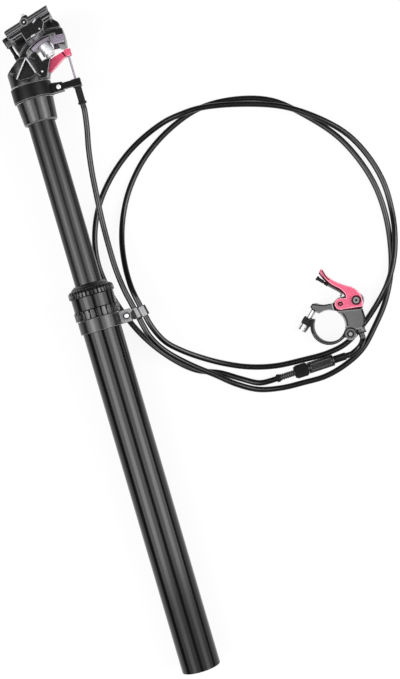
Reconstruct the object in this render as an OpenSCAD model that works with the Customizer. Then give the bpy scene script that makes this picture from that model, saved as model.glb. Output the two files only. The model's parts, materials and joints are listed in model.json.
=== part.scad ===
// Dropper seatpost with a cable-pulled head lever, its cable and a handlebar remote.
// It lies on its side on a table: x points to the rear of the post, y along the post
// from its foot to its head, z up. The origin is the centre of the foot of the outer tube.

/* [Outer tube] */
// Diameter of the outer tube
tube_d = 27.2; // [26:0.2:31.6]
// Wall of the outer tube
tube_wall = 2; // [1.8:0.1:2.4]
// Height of the lock ring above the foot of the tube
collar_z = 253; // [240:1:300]
// Height of the lock ring
lock_ring_h = 6.3; // [4:0.1:9]
// Height of the smooth collar
collar_h = 9.3; // [6:0.1:14]
// Height of the knurled cap
cap_h = 5.6; // [4.6:0.1:9]
// How far the knurled rings stand out of the tube
knurl_proud = 2.4; // [2:0.1:3.5]
// Grooves round a knurled ring
knurl_count = 36; // [24:2:48]
// Thickness of the foot plug
plug_h = 10; // [6:1:16]

/* [Inner tube] */
// Wall of the guide bushes between the tubes
bush_wall = 2.1; // [1.8:0.1:2.4]
// Wall of the inner tube
stanchion_wall = 1.5; // [1.2:0.1:1.8]
// Length of the inner tube
stanchion_len = 250; // [235:1:260]
// How far the saddle drops
travel = 110; // [80:5:112]
// Length of the guide bush inside the top of the outer tube
top_bush_h = 30; // [20:1:40]
// Length of the guide bush on the foot of the inner tube
low_bush_h = 20; // [12:1:28]
// Wall of the gas cylinder
gas_wall = 1.9; // [1.6:0.1:2.2]
// Wall of the gland round the gas rod
gland_wall = 2; // [1.7:0.1:2.3]

/* [Head] */
// Height of the tapered cup up to its band
cup_h = 16.5; // [15:0.5:20]
// Diameter of the foot of the cup
cup_foot_d = 23.5; // [23:0.1:25]
// Diameter of the cup at its band
cup_band_d = 26; // [25.6:0.1:28]
// Height of the cable bracket's band
band_h = 9.8; // [8:0.1:11]
// Wall of the cable bracket's band
band_wall = 1.1; // [1:0.1:1.6]
// Thickness of the head lever
head_lever_t = 4; // [3:0.1:4.6]
// Distance of the pulled wire from the post's axis
wire_x = 30.8; // [29.6:0.1:32]
// Width of the forged head across its cheeks
head_w = 20; // [18:0.5:21]

/* [Saddle clamp] */
// Saddle rail diameter
rail_d = 7; // [6.8:0.1:7.2]
// Distance between the saddle rails
rail_pitch = 44; // [43:0.5:45]
// Length of the clamp along the rails
clamp_len = 34; // [30:0.5:38]
// Angle of the clamp to the post's cross section
clamp_angle = 16; // [10:0.5:18]
// Radius of the dome on the head that the clamp tilts on
dome_r = 31.4; // [31:0.1:31.8]
// Height of the saddle rails above the dome
cradle_t = 6.2; // [5.9:0.1:6.8]
// Clamp bolt diameter
bolt_d = 6; // [5:0.5:6]

/* [Cable] */
// Cable housing diameter
housing_d = 4; // [3.8:0.1:4.2]
// Inner wire diameter
wire_d = 1.5; // [1.1:0.1:1.6]
// Barrel adjuster diameter
barrel_d = 9.5; // [8.5:0.1:9.8]

/* [Remote] */
// Handlebar diameter
bar_d = 22.2; // [21.8:0.1:22.6]
// Width of the bar clamp along the handlebar
remote_w = 11; // [10:0.5:13]
// Thickness of the bar strap
strap_wall = 2; // [1.6:0.1:2.6]
// Thickness of the thumb lever
thumb_t = 5; // [4:0.1:5.4]

/* [Fits] */
// Gap between sliding or turning round faces
run_gap = 0.05; // [0.02:0.01:0.08]
// Gap between parts that pass each other
pass_gap = 0.3; // [0.3:0.05:0.4]

/* [Hidden] */
$fn = 64;

tube_r = tube_d / 2;
tube_bore_r = tube_r - tube_wall;
ring_seat_r = tube_r - 0.25;
stanchion_r = tube_bore_r - bush_wall;
stanchion_bore_r = stanchion_r - stanchion_wall;
housing_r = housing_d / 2;
bar_r = bar_d / 2;
rail_r = rail_d / 2;

// heights along the post, from the foot of the outer tube
sleeve_z = collar_z + lock_ring_h;
cap_z = sleeve_z + collar_h;
tube_len = cap_z + 2;
cap_top_z = cap_z + cap_h;
wiper_lip_h = 3.8;
bump_gap = 3;
cup_z = cap_top_z + wiper_lip_h + travel + bump_gap;
stanchion_top_z = cup_z + cup_h - 0.5;
stanchion_foot_z = stanchion_top_z - stanchion_len;
plug_z = 3;
clip_h = 9;
clip_z = collar_z - pass_gap - clip_h;

// the head's features, from the cup's foot and the post's axis
band_r = cup_band_d / 2;
drum_z = cup_h + band_h;
drum_r = band_r + 0.3;
lever_pivot = [-7, 38];
lever_pin_r = 2;
dome_top = [14.84499, 56.68362];
dome_lean = 16;
dome_mid = dome_top + dome_r * [sin(dome_lean), -cos(dome_lean)];
arch_r = dome_r - 3.4;
seat_r = dome_r + pass_gap;
rail_rise = dome_r + cradle_t;
washer_t = 2.2;
washer_r = arch_r - pass_gap;
bolt_top_r = washer_r - washer_t;
bolt_head_r = 4.4;
bolt_head_h = 9.6;
clamp_swing = 4;
clamp_half_w = rail_pitch / 2 + rail_r + 1.3;

// the saddle clamp's side touches the table, so the post lies at a slight angle
wing_front = -9;
wing_drop = 10.3;
wing_edge = 1.3;
clamp_touch_z = cup_z + dome_mid[1] + (rail_rise - wing_drop + wing_edge) * cos(clamp_angle)
    + wing_front * sin(clamp_angle);
lay_angle = atan((clamp_half_w - tube_r) / clamp_touch_z);
table_z = -tube_r * cos(lay_angle);

// a point given as rear, depth and height along the post
function lay_point(p) = [
    p[0],
    p[2] * cos(lay_angle) + p[1] * sin(lay_angle),
    p[2] * sin(lay_angle) - p[1] * cos(lay_angle)
];

module lay() rotate([-90 + lay_angle, 0, 0]) children();

module on_head() lay() translate([0, 0, cup_z]) children();

module on_dome() on_head() translate([dome_mid[0], 0, dome_mid[1]]) rotate([0, -clamp_angle, 0]) children();

module on_clamp() on_dome() translate([0, 0, rail_rise]) children();

// a flat shape drawn as rear and height, given a thickness across the post
module side_plate(t) rotate([90, 0, 0]) linear_extrude(t, center = true) children();

module ring(r_out, r_in, h) difference() {
    cylinder(r = r_out, h = h);
    translate([0, 0, -1]) cylinder(r = r_in, h = h + 2);
}

module knurled_ring(r_out, r_in, h, count, cut) difference() {
    ring(r_out, r_in, h);
    for (i = [0 : count - 1])
        rotate([0, 0, i * 360 / count]) translate([r_out + 0.35, 0, -1]) rotate([0, 0, 45])
            cube([cut, cut, 2 * h + 4], center = true);
}

// The outer tube and its collar

module outer_tube() color([0.12, 0.12, 0.13]) lay() difference() {
    rotate_extrude() polygon([
        [tube_bore_r, 0.6], [tube_bore_r + 0.6, 0], [tube_r, 0], [tube_r, clip_z], [ring_seat_r, clip_z],
        [ring_seat_r, tube_len], [tube_bore_r, tube_len]
    ]);
    for (a = key_angles) rotate([0, 0, a]) translate([0, -key_w / 2 - run_gap, key_groove_z])
        cube([tube_bore_r + key_groove, key_w + 2 * run_gap, tube_len]);
}

key_angles = [0, 120, 240];
key_w = 3;
key_len = 24;
key_groove = 0.9;
key_z = stanchion_foot_z + low_bush_h + 12;
key_groove_z = key_z - travel - 6;

module foot_plug() color([0.1, 0.1, 0.1]) lay() translate([0, 0, plug_z]) difference() {
    union() {
        ring(tube_bore_r, foot_bolt_r, plug_h);
        ring(tube_bore_r - 2.5, foot_bolt_r, plug_h + 1.5);
    }
    for (a = [0 : 60 : 300]) rotate([0, 0, a]) translate([tube_bore_r - 3, 0, -1])
        cylinder(r = 1.5, h = plug_h - 3);
}

gas_bore_r = stanchion_bore_r - 0.1 - gas_wall;
rod_r = gas_bore_r - gland_wall;
foot_bolt_r = rod_r - 1;
foot_bolt_grip = 12;

module foot_bolt() color([0.75, 0.75, 0.76]) lay() difference() {
    union() {
        translate([0, 0, plug_z - 2.6]) cylinder(r = foot_bolt_r + 2.2, h = 2.6);
        translate([0, 0, plug_z]) cylinder(r = foot_bolt_r, h = plug_h + 1.5 + foot_bolt_grip);
    }
    translate([0, 0, plug_z - 3]) cylinder(r = foot_bolt_r - 1, h = 2.2, $fn = 6);
}

gland_h = 9;
piston_z = stanchion_foot_z + gland_h + 8;
rod_foot_z = plug_z + plug_h + 1.5;

module gas_rod() color([0.8, 0.8, 0.82]) lay() difference() {
    union() {
        translate([0, 0, rod_foot_z]) cylinder(r = rod_r, h = piston_z - rod_foot_z);
        translate([0, 0, piston_z]) cylinder(r = gas_bore_r - run_gap, h = 3);
        translate([0, 0, piston_z + 3]) cylinder(r = gas_bore_r - 1, h = 2.4);
        translate([0, 0, piston_z + 5.4]) cylinder(r = gas_bore_r - run_gap, h = 3);
    }
    translate([0, 0, rod_foot_z - 1]) cylinder(r = foot_bolt_r, h = foot_bolt_grip + 1);
}

top_bush_z = tube_len - top_bush_h;

module top_bush() color([0.62, 0.55, 0.4]) lay() translate([0, 0, top_bush_z])
    ring(tube_bore_r, stanchion_r + run_gap, top_bush_h);

knurl_r = tube_r + knurl_proud;

module lock_ring() color([0.1, 0.1, 0.11]) lay() translate([0, 0, collar_z])
    knurled_ring(knurl_r - 0.3, ring_seat_r, lock_ring_h, knurl_count * 2 / 3, 1.7);

module collar() color([0.12, 0.12, 0.13]) lay() translate([0, 0, sleeve_z])
    ring(tube_r + 1.4, ring_seat_r, collar_h);

wiper_r = tube_bore_r - 0.4;

module knurled_cap() color([0.1, 0.1, 0.11]) lay() difference() {
    translate([0, 0, cap_z]) knurled_ring(knurl_r, wiper_r, cap_h, knurl_count, 1.6);
    translate([0, 0, cap_z - 1]) cylinder(r = ring_seat_r, h = tube_len - cap_z + 1);
}

module dust_wiper() color([0.06, 0.06, 0.06]) lay() rotate_extrude() polygon([
    [stanchion_r + run_gap, tube_len], [wiper_r, tube_len], [wiper_r, cap_top_z],
    [wiper_r + 2.4, cap_top_z], [wiper_r + 1.8, cap_top_z + 1.6],
    [stanchion_r + 1.6, cap_top_z + wiper_lip_h - 0.6], [stanchion_r + 0.8, cap_top_z + wiper_lip_h],
    [stanchion_r + run_gap, cap_top_z + wiper_lip_h - 0.4]
]);

// The clip that holds two strands of the cable beside the tube

clip_wall = 1.3;
clip_slit = 1.4;
clip_ear_t = 2.6;
clip_screw_x = tube_r + 5.3;
clip_ear_reach = 3.4;
clip_screw_r = 1.5;
strand_x = [25.8, 30.5];
strand_lean = 11.6;
clip_mid_z = clip_z + clip_h / 2;
guide_wall = 1.2;
guide_r = housing_r + 0.15;

// a point on a strand in the clip, as rear, depth and height along the post
function strand_point(k, z) = [strand_x[k] + (clip_mid_z - z) * tan(strand_lean), 0, z];

module on_strand(x) translate([x, 0, clip_h / 2]) rotate([0, -strand_lean, 0]) children();

module cable_clip() color([0.14, 0.14, 0.15]) lay() translate([0, 0, clip_z]) difference() {
    union() {
        cylinder(r = tube_r + clip_wall, h = clip_h);
        for (side = [-1, 1]) translate([0, side * (clip_slit + clip_ear_t) / 2 - clip_ear_t / 2, 0])
            cube([clip_screw_x + clip_ear_reach, clip_ear_t, clip_h]);
        translate([clip_screw_x, -clip_slit / 2 - clip_ear_t, 1])
            cube([strand_x[0] - clip_screw_x, clip_ear_t, clip_h - 2]);
        for (x = strand_x) on_strand(x) cylinder(r = guide_r + guide_wall, h = clip_h - 2, center = true);
    }
    translate([0, 0, -1]) cylinder(r = ring_seat_r, h = clip_h + 2);
    translate([tube_r - 2, -clip_slit / 2, -1])
        cube([clip_screw_x + clip_ear_reach + 2.3 - tube_r, clip_slit, clip_h + 2]);
    for (x = strand_x) on_strand(x) {
        cylinder(r = guide_r, h = clip_h + 8, center = true);
        translate([-guide_r, 0, -clip_h]) cube([2 * guide_r, guide_r + guide_wall + 1, 2 * clip_h]);
    }
    translate([clip_screw_x, 0, clip_h / 2]) rotate([90, 0, 0])
        cylinder(r = clip_screw_r, h = 20, center = true);
}

module clip_screw() color([0.85, 0.85, 0.86]) lay() translate([clip_screw_x, 0, clip_z + clip_h / 2])
    screw_across(clip_screw_r, 2.6, 1.8, clip_slit / 2 + clip_ear_t);

// a screw that passes two ears, its head on the upper one
module screw_across(r, head_r, head_h, half) difference() {
    rotate([-90, 0, 0]) union() {
        translate([0, 0, -half - head_h]) cylinder(r = head_r, h = head_h);
        translate([0, 0, -half]) cylinder(r = r, h = 2 * half + 0.8);
    }
    translate([0, -half - head_h + 0.6, 0]) rotate([90, 0, 0]) cylinder(r = head_r * 0.5, h = 2, $fn = 6);
}

// The inner tube and the gas spring

module stanchion() color([0.13, 0.13, 0.14]) lay() difference() {
    translate([0, 0, stanchion_foot_z]) ring(stanchion_r, stanchion_bore_r, stanchion_len);
    for (a = key_angles) rotate([0, 0, a]) translate([stanchion_r - key_seat, -key_w / 2, key_z])
        cube([key_seat + 1, key_w, key_len]);
}

key_seat = 0.8;

module guide_keys() color([0.8, 0.65, 0.3]) lay() for (a = key_angles) rotate([0, 0, a])
    translate([stanchion_r - key_seat, -key_w / 2, key_z])
        cube([tube_bore_r + key_groove - run_gap * 2 - 0.1 - stanchion_r + key_seat, key_w, key_len]);

module low_bush() color([0.62, 0.55, 0.4]) lay() translate([0, 0, stanchion_foot_z])
    ring(tube_bore_r - run_gap, stanchion_r, low_bush_h);

module gas_cylinder() color([0.55, 0.56, 0.58]) lay() difference() {
    translate([0, 0, stanchion_foot_z]) cylinder(r = stanchion_bore_r - 0.1, h = stanchion_len);
    translate([0, 0, stanchion_foot_z - 1]) cylinder(r = gas_bore_r, h = stanchion_len - valve_block_h + 1);
    translate([0, 0, stanchion_top_z - valve_block_h - 1])
        cylinder(r = valve_r + run_gap, h = valve_block_h + 2);
}

valve_block_h = 18;
valve_r = 1.5;

module gas_gland() color([0.7, 0.7, 0.2]) lay() translate([0, 0, stanchion_foot_z])
    ring(gas_bore_r, rod_r + run_gap, gland_h);

module valve_pin() color([0.8, 0.8, 0.82]) on_head() {
    translate([0, 0, valve_foot_z]) cylinder(r = valve_r, h = valve_top_z - valve_foot_z);
    translate([0, 0, valve_top_z - valve_head_h]) cylinder(r = head_lever_t / 2, h = valve_head_h);
}

valve_foot_z = cup_h - 10;
valve_head_h = 2;
nose_r = 2.2;
nose_z = lever_pivot[1] - 2.5;
valve_top_z = nose_z - nose_r - pass_gap;
lever_slot_half = head_lever_t / 2 + 0.4;
lever_slot_z = valve_top_z - valve_head_h - 2.4;

// The forged head

module head() color([0.12, 0.12, 0.13]) on_head() difference() {
    union() {
        intersection() {
            rotate_extrude() polygon([
                [0, 0], [cup_foot_d / 2 - 1.2, 0], [cup_foot_d / 2 - 0.3, 0.5], [cup_foot_d / 2, 1.6],
                [band_r, cup_h], [band_r, drum_z], [drum_r, drum_z], [drum_r, 60], [0, 60]
            ]);
            side_plate(2 * drum_r + 2) legs();
        }
        side_plate(head_w) upper_head();
    }
    translate([0, 0, -1]) cylinder(r = stanchion_r, h = cup_h - 0.5 + 1);
    cylinder(r = valve_r + run_gap, h = lever_slot_z + 1);
    side_plate(2 * lever_slot_half) lever_slot();
    for (side = [-1, 1]) translate([0, side * drum_r, 0]) side_plate(2 * cheek_depth) cheek_window();
    translate([lever_pivot[0], 0, lever_pivot[1]]) rotate([90, 0, 0])
        cylinder(r = lever_pin_r, h = 2 * lever_pin_half, center = true);
    translate([dome_mid[0], 0, dome_mid[1]]) rotate([0, -clamp_angle, 0])
        translate([-bolt_reach, -bolt_d / 2 - 0.5, arch_r - 1]) cube([2 * bolt_reach, bolt_d + 1, 8]);
}

// how far the clamp bolt and its head swing to each side
bolt_reach = bolt_d / 2 + 0.5 + dome_r * sin(clamp_swing);
head_reach = bolt_head_r + 0.5 + bolt_top_r * sin(clamp_swing);
cheek_depth = 4.5;
lever_pin_half = 11;
neck = [-2.3, 44.2];
rear_leg_top = [19, 39.6];

// the cup with the front and rear leg above it
module legs() difference() {
    polygon([
        [-drum_r - 1, -1], [-drum_r - 1, drum_z + 10.4], [-7.5, 40.6], neck, [5, neck[1]],
        [drum_r + 1, 38], [drum_r + 1, -1]
    ]);
    bolt_pocket();
}

// the neck, the arch over the bolt's head, its hook and the rear leg's flare
module upper_head() difference() {
    union() {
        polygon([
            [-6, drum_z + 4], [-10.4, drum_z + 10.6], [-7.5, 40.6], neck, [4, 47.4], [12, 46], [13, 38],
            [13, drum_z + 4]
        ]);
        polygon([[5, drum_z + 1], [5, rear_leg_top[1]], rear_leg_top, [drum_r - 0.2, drum_z + 1]]);
        intersection() {
            translate(dome_mid) difference() {
                circle(r = dome_r, $fn = 128);
                circle(r = arch_r, $fn = 128);
            }
            polygon([[-2, 43], [-2, 60], [32.2, 60], [32.2, 47], [8, 41]]);
        }
        intersection() {
            translate(dome_mid) circle(r = dome_r - 1, $fn = 128);
            polygon([[26, 58], [32.2, 58], [32.2, 50], [31.4, 45.2], [26.6, 46.2]]);
        }
    }
    bolt_pocket();
}

// room for the clamp bolt's head and its curved washer to swing under the arch
module bolt_pocket() {
    intersection() {
        translate(dome_mid) difference() {
            circle(r = arch_r, $fn = 128);
            circle(r = bolt_top_r - pass_gap, $fn = 128);
        }
        polygon([[4.4, 40], [4.4, 60], [25.8, 60], [25.8, 40]]);
    }
    translate(dome_mid) rotate(clamp_angle) translate([-head_reach, bolt_top_r - bolt_head_h - 1])
        square([2 * head_reach, bolt_head_h + 2]);
}

// the recess between the legs on each cheek
module cheek_window() polygon([
    [3, 43.4], [-7, drum_z + 5.2], [-4.6, drum_z + 4], [2.4, drum_z + 3.6], [6.6, drum_z + 5.8]
]);

module lever_slot() polygon([
    [-11.4, 42], [6, 42], [20, 42.6], [34, 45], [34, drum_z + 0.5], [8, drum_z + 0.5], [6, lever_slot_z],
    [-4, lever_slot_z], [-11.4, 33]
]);

// The cable bracket on the head

bracket_slit = 1.2;
bracket_ear_t = 3;
bracket_screw_x = 18.4;
bracket_screw_z = cup_h + 3.4;
bracket_screw_r = 1.5;
wire_r = wire_d / 2;
wire_hole_r = wire_r + 0.25;
ferrule_r = housing_r + 0.4;
ferrule_top_z = cup_h + 3.5;
ferrule_foot_z = cup_h - 11.5;
stop_half = 3.3;

module cable_bracket() color([0.1, 0.1, 0.11]) on_head() difference() {
    union() {
        translate([0, 0, cup_h]) cylinder(r = band_r + band_wall, h = band_h);
        for (side = [-1, 1]) translate([0, side * (bracket_slit + bracket_ear_t) / 2, 0])
            side_plate(bracket_ear_t) bracket_ear();
        translate([0, -(bracket_slit + bracket_ear_t) / 2, 0]) side_plate(bracket_ear_t) bracket_arm();
        translate([wire_x - stop_half, -stop_half - 0.3, cup_h + 0.5])
            cube([2 * stop_half, 2 * stop_half, 5.4]);
    }
    translate([0, 0, cup_h - 1]) cylinder(r = band_r, h = band_h + 2);
    translate([band_r - 2, -bracket_slit / 2, cup_h - 1])
        cube([wire_x - stop_half - 1 - band_r, bracket_slit, band_h + 2]);
    translate([bracket_screw_x, 0, bracket_screw_z]) rotate([90, 0, 0])
        cylinder(r = bracket_screw_r, h = 20, center = true);
    translate([wire_x, 0, cup_h - 1]) cylinder(r = wire_hole_r, h = band_h + 2);
    translate([wire_x, 0, cup_h - 1]) cylinder(r = ferrule_r, h = ferrule_top_z - cup_h + 1);
}

module bracket_ear() polygon([
    [band_r - 2, cup_h + 0.4], [bracket_screw_x + 3.2, cup_h + 0.4], [bracket_screw_x + 3.2, cup_h + 6.4],
    [band_r - 2, cup_h + 8]
]);

module bracket_arm() polygon([
    [bracket_screw_x, cup_h + 1], [wire_x - 2, cup_h + 1], [wire_x - 2, cup_h + 5.6],
    [bracket_screw_x, cup_h + 5.6]
]);

module bracket_screw() color([0.85, 0.85, 0.86]) on_head() translate([bracket_screw_x, 0, bracket_screw_z])
    screw_across(bracket_screw_r, 2.2, 1.8, bracket_slit / 2 + bracket_ear_t);

module stop_ferrule() color([0.08, 0.08, 0.08]) on_head() translate([wire_x, 0, 0]) difference() {
    union() {
        translate([0, 0, ferrule_foot_z]) cylinder(r = ferrule_r, h = ferrule_top_z - ferrule_foot_z);
        translate([0, 0, ferrule_foot_z]) cylinder(r = ferrule_r + 0.6, h = 1.4);
    }
    translate([0, 0, ferrule_foot_z - 1]) cylinder(r = wire_hole_r, h = 40);
}

// The lever in the head, its pin, wire and valve

barrel_anchor_r = 2.5;
barrel_anchor_h = 5;
barrel_anchor_z = lever_pivot[1] + 0.6;
anchor_screw_r = 1.2;

module head_lever() color([0.86, 0.2, 0.32]) on_head() difference() {
    union() {
        side_plate(head_lever_t) difference() {
            union() {
                lever_plan();
                translate(lever_pivot) circle(r = 3);
                translate([0, nose_z]) circle(r = nose_r);
            }
            translate([wire_x, barrel_anchor_z]) square([20, 10]);
        }
        translate([wire_x, 0, barrel_anchor_z]) cylinder(r = barrel_anchor_r, h = barrel_anchor_h);
    }
    translate([lever_pivot[0], 0, lever_pivot[1]]) rotate([90, 0, 0])
        cylinder(r = lever_pin_r + run_gap, h = 20, center = true);
    translate([wire_x, 0, barrel_anchor_z - 1]) cylinder(r = wire_r + 0.95, h = barrel_anchor_h + 2);
    translate([wire_x, 0, barrel_anchor_z + barrel_anchor_h / 2]) rotate([0, 90, 0])
        cylinder(r = anchor_screw_r, h = 10);
}

module lever_plan() polygon([
    lever_pivot + [0, 3], [10, 38.4], [17, 39.4], [21.3, 41], [27.6, 42.6], [wire_x, 42.6],
    [wire_x, 38.8], [27.4, 38], [16.4, 31], [8, 33], [1, nose_z - 1.4], lever_pivot - [0, 3]
]);

module anchor_screw() color([0.8, 0.8, 0.82]) on_head()
    translate([wire_x + wire_r + 0.6, 0, barrel_anchor_z + barrel_anchor_h / 2]) rotate([0, 90, 0])
    difference() {
        cylinder(r = anchor_screw_r, h = barrel_anchor_r - wire_r - 0.6);
        translate([0, 0, 0.5]) cylinder(r = 0.6, h = 2, $fn = 6);
    }

module lever_pin() color([0.7, 0.7, 0.72]) on_head() translate([lever_pivot[0], 0, lever_pivot[1]])
    rotate([90, 0, 0]) cylinder(r = lever_pin_r, h = 2 * lever_pin_half, center = true);

module head_wire() color([0.82, 0.83, 0.85]) on_head() translate([wire_x, 0, ferrule_foot_z + 5])
    cylinder(r = wire_r, h = barrel_anchor_z + barrel_anchor_h - 1 - ferrule_foot_z - 5);

// The saddle clamp

clamp_front = -18.4;
clamp_rear = clamp_front + clamp_len;
hub_front = -17.9;
hub_half = head_w / 2 - 0.2;
plate_t = 2.6;
front_screw_x = hub_front - 2.3;
front_screw_d = 2.4;
front_screw_z = -11.5;
front_ear_r = 2.4;
front_ear_t = 1.8;

module along_rails() translate([clamp_front, 0, 0]) rotate([90, 0, 90]) linear_extrude(clamp_len) children();

module rail_grooves() for (side = [-1, 1]) translate([clamp_front - 1, side * rail_pitch / 2, 0])
    rotate([0, 90, 0]) cylinder(r = rail_r, h = clamp_len + 2);

module lower_cradle() color([0.1, 0.1, 0.11]) on_clamp() difference() {
    union() {
        side_plate(2 * hub_half) hub_plan();
        intersection() {
            along_rails() for (side = [-1, 1]) scale([side, 1]) polygon([
                [hub_half - 1, 0], [hub_half - 1, -4.2], [14, -4.8], [clamp_half_w - 1.6, -4.8],
                [clamp_half_w, -3.2], [clamp_half_w, -0.5], [clamp_half_w - 0.5, 0]
            ]);
            side_plate(2 * clamp_half_w) polygon([
                [clamp_front, 0], [clamp_front, -2], [clamp_front + 2.6, -4.8], [clamp_rear - 3, -4.8],
                [clamp_rear - 1, -2.6], [clamp_rear - 1, 0]
            ]);
        }
        for (side = [-1, 1]) translate([0, side * (clamp_half_w + wing_in) / 2, 0]) intersection() {
            side_plate(clamp_half_w - wing_in) wing_plan();
            translate([-30, 0, 0]) rotate([90, 0, 90]) linear_extrude(60) scale([side, 1]) polygon([
                [-20, 0], [-20, -wing_drop], [wing_half - wing_edge, -wing_drop],
                [wing_half, -wing_drop + wing_edge], [wing_half, 0]
            ]);
        }
        front_ear(-front_ear_t, front_ear_t);
    }
    translate([0, 0, -rail_rise]) rotate([90, 0, 0]) cylinder(r = seat_r, h = 2 * wing_in, center = true);
    rail_grooves();
    translate([0, 0, -50]) cylinder(r = bolt_d / 2 + 0.15, h = 60);
    translate([front_screw_x, 0, -20]) cylinder(r = front_screw_d / 2 + 0.15, h = 30);
}

wing_in = head_w / 2 + 0.4;
wing_half = (clamp_half_w - wing_in) / 2;

// the block that rides on the dome
module hub_plan() polygon([
    [hub_front, 0], [hub_front, -14], [12, -14], [16.4, -8.4], [16.4, -6], [14.3, -2.4], [8.4, -1.4], [6, 0]
]);

// the side wings that hang beside the head
module wing_plan() polygon([
    [wing_front, 0], [wing_front, -wing_drop + 1], [wing_front + 1, -wing_drop], [0, -wing_drop + 0.6],
    [5, -8.4], [8, -4.8], [8, 0]
]);

// the eye for the front screw
module front_ear(z, h) translate([front_screw_x, 0, z]) {
    cylinder(r = front_ear_r, h = h);
    translate([0, -front_ear_r, 0]) cube([hub_front + 4 - front_screw_x, 2 * front_ear_r, h]);
}

module top_plate() color([0.16, 0.16, 0.17]) on_clamp() difference() {
    union() {
        intersection() {
            along_rails() polygon([
                [-clamp_half_w + 0.5, 0], [-clamp_half_w, 0.5], [-clamp_half_w, 2.2],
                [-clamp_half_w + 1.8, 4.2], [-rail_pitch / 2, 4.9], [-rail_pitch / 2 + 4.4, 3.9],
                [-13, plate_t], [13, plate_t],
                [rail_pitch / 2 - 4.4, 3.9], [rail_pitch / 2, 4.9], [clamp_half_w - 1.8, 4.2],
                [clamp_half_w, 2.2], [clamp_half_w, 0.5], [clamp_half_w - 0.5, 0]
            ]);
            side_plate(2 * clamp_half_w) polygon([
                [clamp_front + 1, 0], [clamp_front, 1.2], [clamp_front, 3.4], [clamp_front + 2, 5],
                [clamp_rear, 5], [clamp_rear - 1.2, 1.6], [clamp_rear - 2.4, 0]
            ]);
        }
        front_ear(0, plate_t);
    }
    rail_grooves();
    translate([0, 0, -1]) cylinder(r = bolt_d / 2 + 0.15, h = 20);
    translate([front_screw_x, 0, -1]) cylinder(r = front_screw_d / 2 + 0.15, h = 20);
}

module clamp_bolt() color([0.85, 0.85, 0.86]) on_dome() difference() {
    union() {
        translate([0, 0, bolt_top_r - bolt_head_h + 2]) cylinder(r = bolt_head_r, h = bolt_head_h - 2);
        translate([0, 0, bolt_top_r - bolt_head_h + 1]) cylinder(r = bolt_head_r - 1.6, h = 2);
        translate([0, 0, bolt_top_r - bolt_head_h]) cylinder(r = bolt_head_r - 1, h = 1.4);
        translate([0, 0, bolt_top_r - 1]) cylinder(r = bolt_d / 2, h = rail_rise - bolt_top_r + 10);
    }
    translate([0, 0, bolt_top_r - bolt_head_h - 1]) cylinder(r = bolt_d / 2 - 1, h = 4, $fn = 6);
}

module clamp_washer() color([0.7, 0.7, 0.72]) on_dome() difference() {
    intersection() {
        rotate([90, 0, 0]) cylinder(r = washer_r, h = 13, center = true);
        side_plate(14) polygon([[0, 0], [-40 * sin(19), 40 * cos(19)], [40 * sin(12), 40 * cos(12)]]);
    }
    rotate([90, 0, 0]) cylinder(r = bolt_top_r, h = 30, center = true);
    cylinder(r = bolt_head_r + 0.2, h = bolt_top_r);
    cylinder(r = bolt_d / 2 + 0.15, h = 50);
}

module clamp_nut() color([0.8, 0.8, 0.82]) on_clamp() translate([0, 0, plate_t]) difference() {
    cylinder(r = 5.4, h = 5, $fn = 6);
    translate([0, 0, -1]) cylinder(r = bolt_d / 2, h = 8);
}

module front_screw() color([0.3, 0.3, 0.31]) on_clamp() translate([front_screw_x, 0, 0]) difference() {
    union() {
        translate([0, 0, plate_t]) cylinder(r = 2.4, h = 2.6);
        translate([0, 0, front_screw_z + 3]) cylinder(r = front_screw_d / 2, h = plate_t - front_screw_z - 3);
        translate([0, 0, front_screw_z]) cylinder(r = front_screw_d / 2 + 0.5, h = 3);
    }
    translate([0, 0, plate_t + 1]) cylinder(r = 1.3, h = 4, $fn = 6);
}

// The barrel adjuster in the cable, from where the long housing enters it

adjuster_foot = [106.5, 177, 5];
adjuster_turn = 2;
tail_len = 2.4;
stem_len = 10.4;
barrel_len = 9.8;
body_len = 18.6;
out_len = 9;
stem_r = 2.3;
adjuster_body_r = 4;
adjuster_len = tail_len + stem_len + barrel_len + body_len + out_len + 2 * pass_gap;
barrel_x = tail_len + stem_len + pass_gap;
adjuster_body_x = barrel_x + barrel_len + pass_gap;

module on_adjuster() translate([adjuster_foot[0], adjuster_foot[1], table_z + adjuster_foot[2]])
    rotate([0, 0, adjuster_turn]) rotate([0, 90, 0]) children();

function adjuster_point(x) = [
    adjuster_foot[0] + x * cos(adjuster_turn),
    adjuster_foot[1] + x * sin(adjuster_turn),
    table_z + adjuster_foot[2]
];

module adjuster_tail() color([0.1, 0.1, 0.1]) on_adjuster() ring(housing_r + 0.8, wire_hole_r, tail_len);

module adjuster_body() color([0.12, 0.12, 0.13]) on_adjuster() difference() {
    union() {
        translate([0, 0, tail_len]) cylinder(r = stem_r, h = adjuster_body_x - tail_len + 1);
        translate([0, 0, adjuster_body_x]) cylinder(r = adjuster_body_r, h = body_len);
    }
    translate([0, 0, -1]) cylinder(r = wire_hole_r, h = 80);
    for (side = [0, 180]) rotate([0, 0, side]) translate([adjuster_body_r - 0.6, -5, adjuster_body_x + 2])
        cube([5, 10, body_len - 4]);
    for (i = [0 : 5]) translate([0, 0, tail_len + 1.5 + i * 1.6]) ring(stem_r + 1, stem_r - 0.35, 0.7);
}

module adjuster_barrel() color([0.1, 0.1, 0.1]) on_adjuster() translate([0, 0, barrel_x])
    difference() {
        union() {
            cylinder(r = barrel_d / 2 - 0.7, h = barrel_len);
            translate([0, 0, 1.2]) cylinder(r = barrel_d / 2, h = barrel_len - 2);
        }
        translate([0, 0, -1]) cylinder(r = stem_r + run_gap, h = barrel_len + 2);
        for (i = [0 : 17]) rotate([0, 0, i * 20]) translate([barrel_d / 2 + 0.3, 0, barrel_len / 2])
            rotate([0, 0, 45]) cube([1.1, 1.1, barrel_len + 2], center = true);
    }

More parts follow.
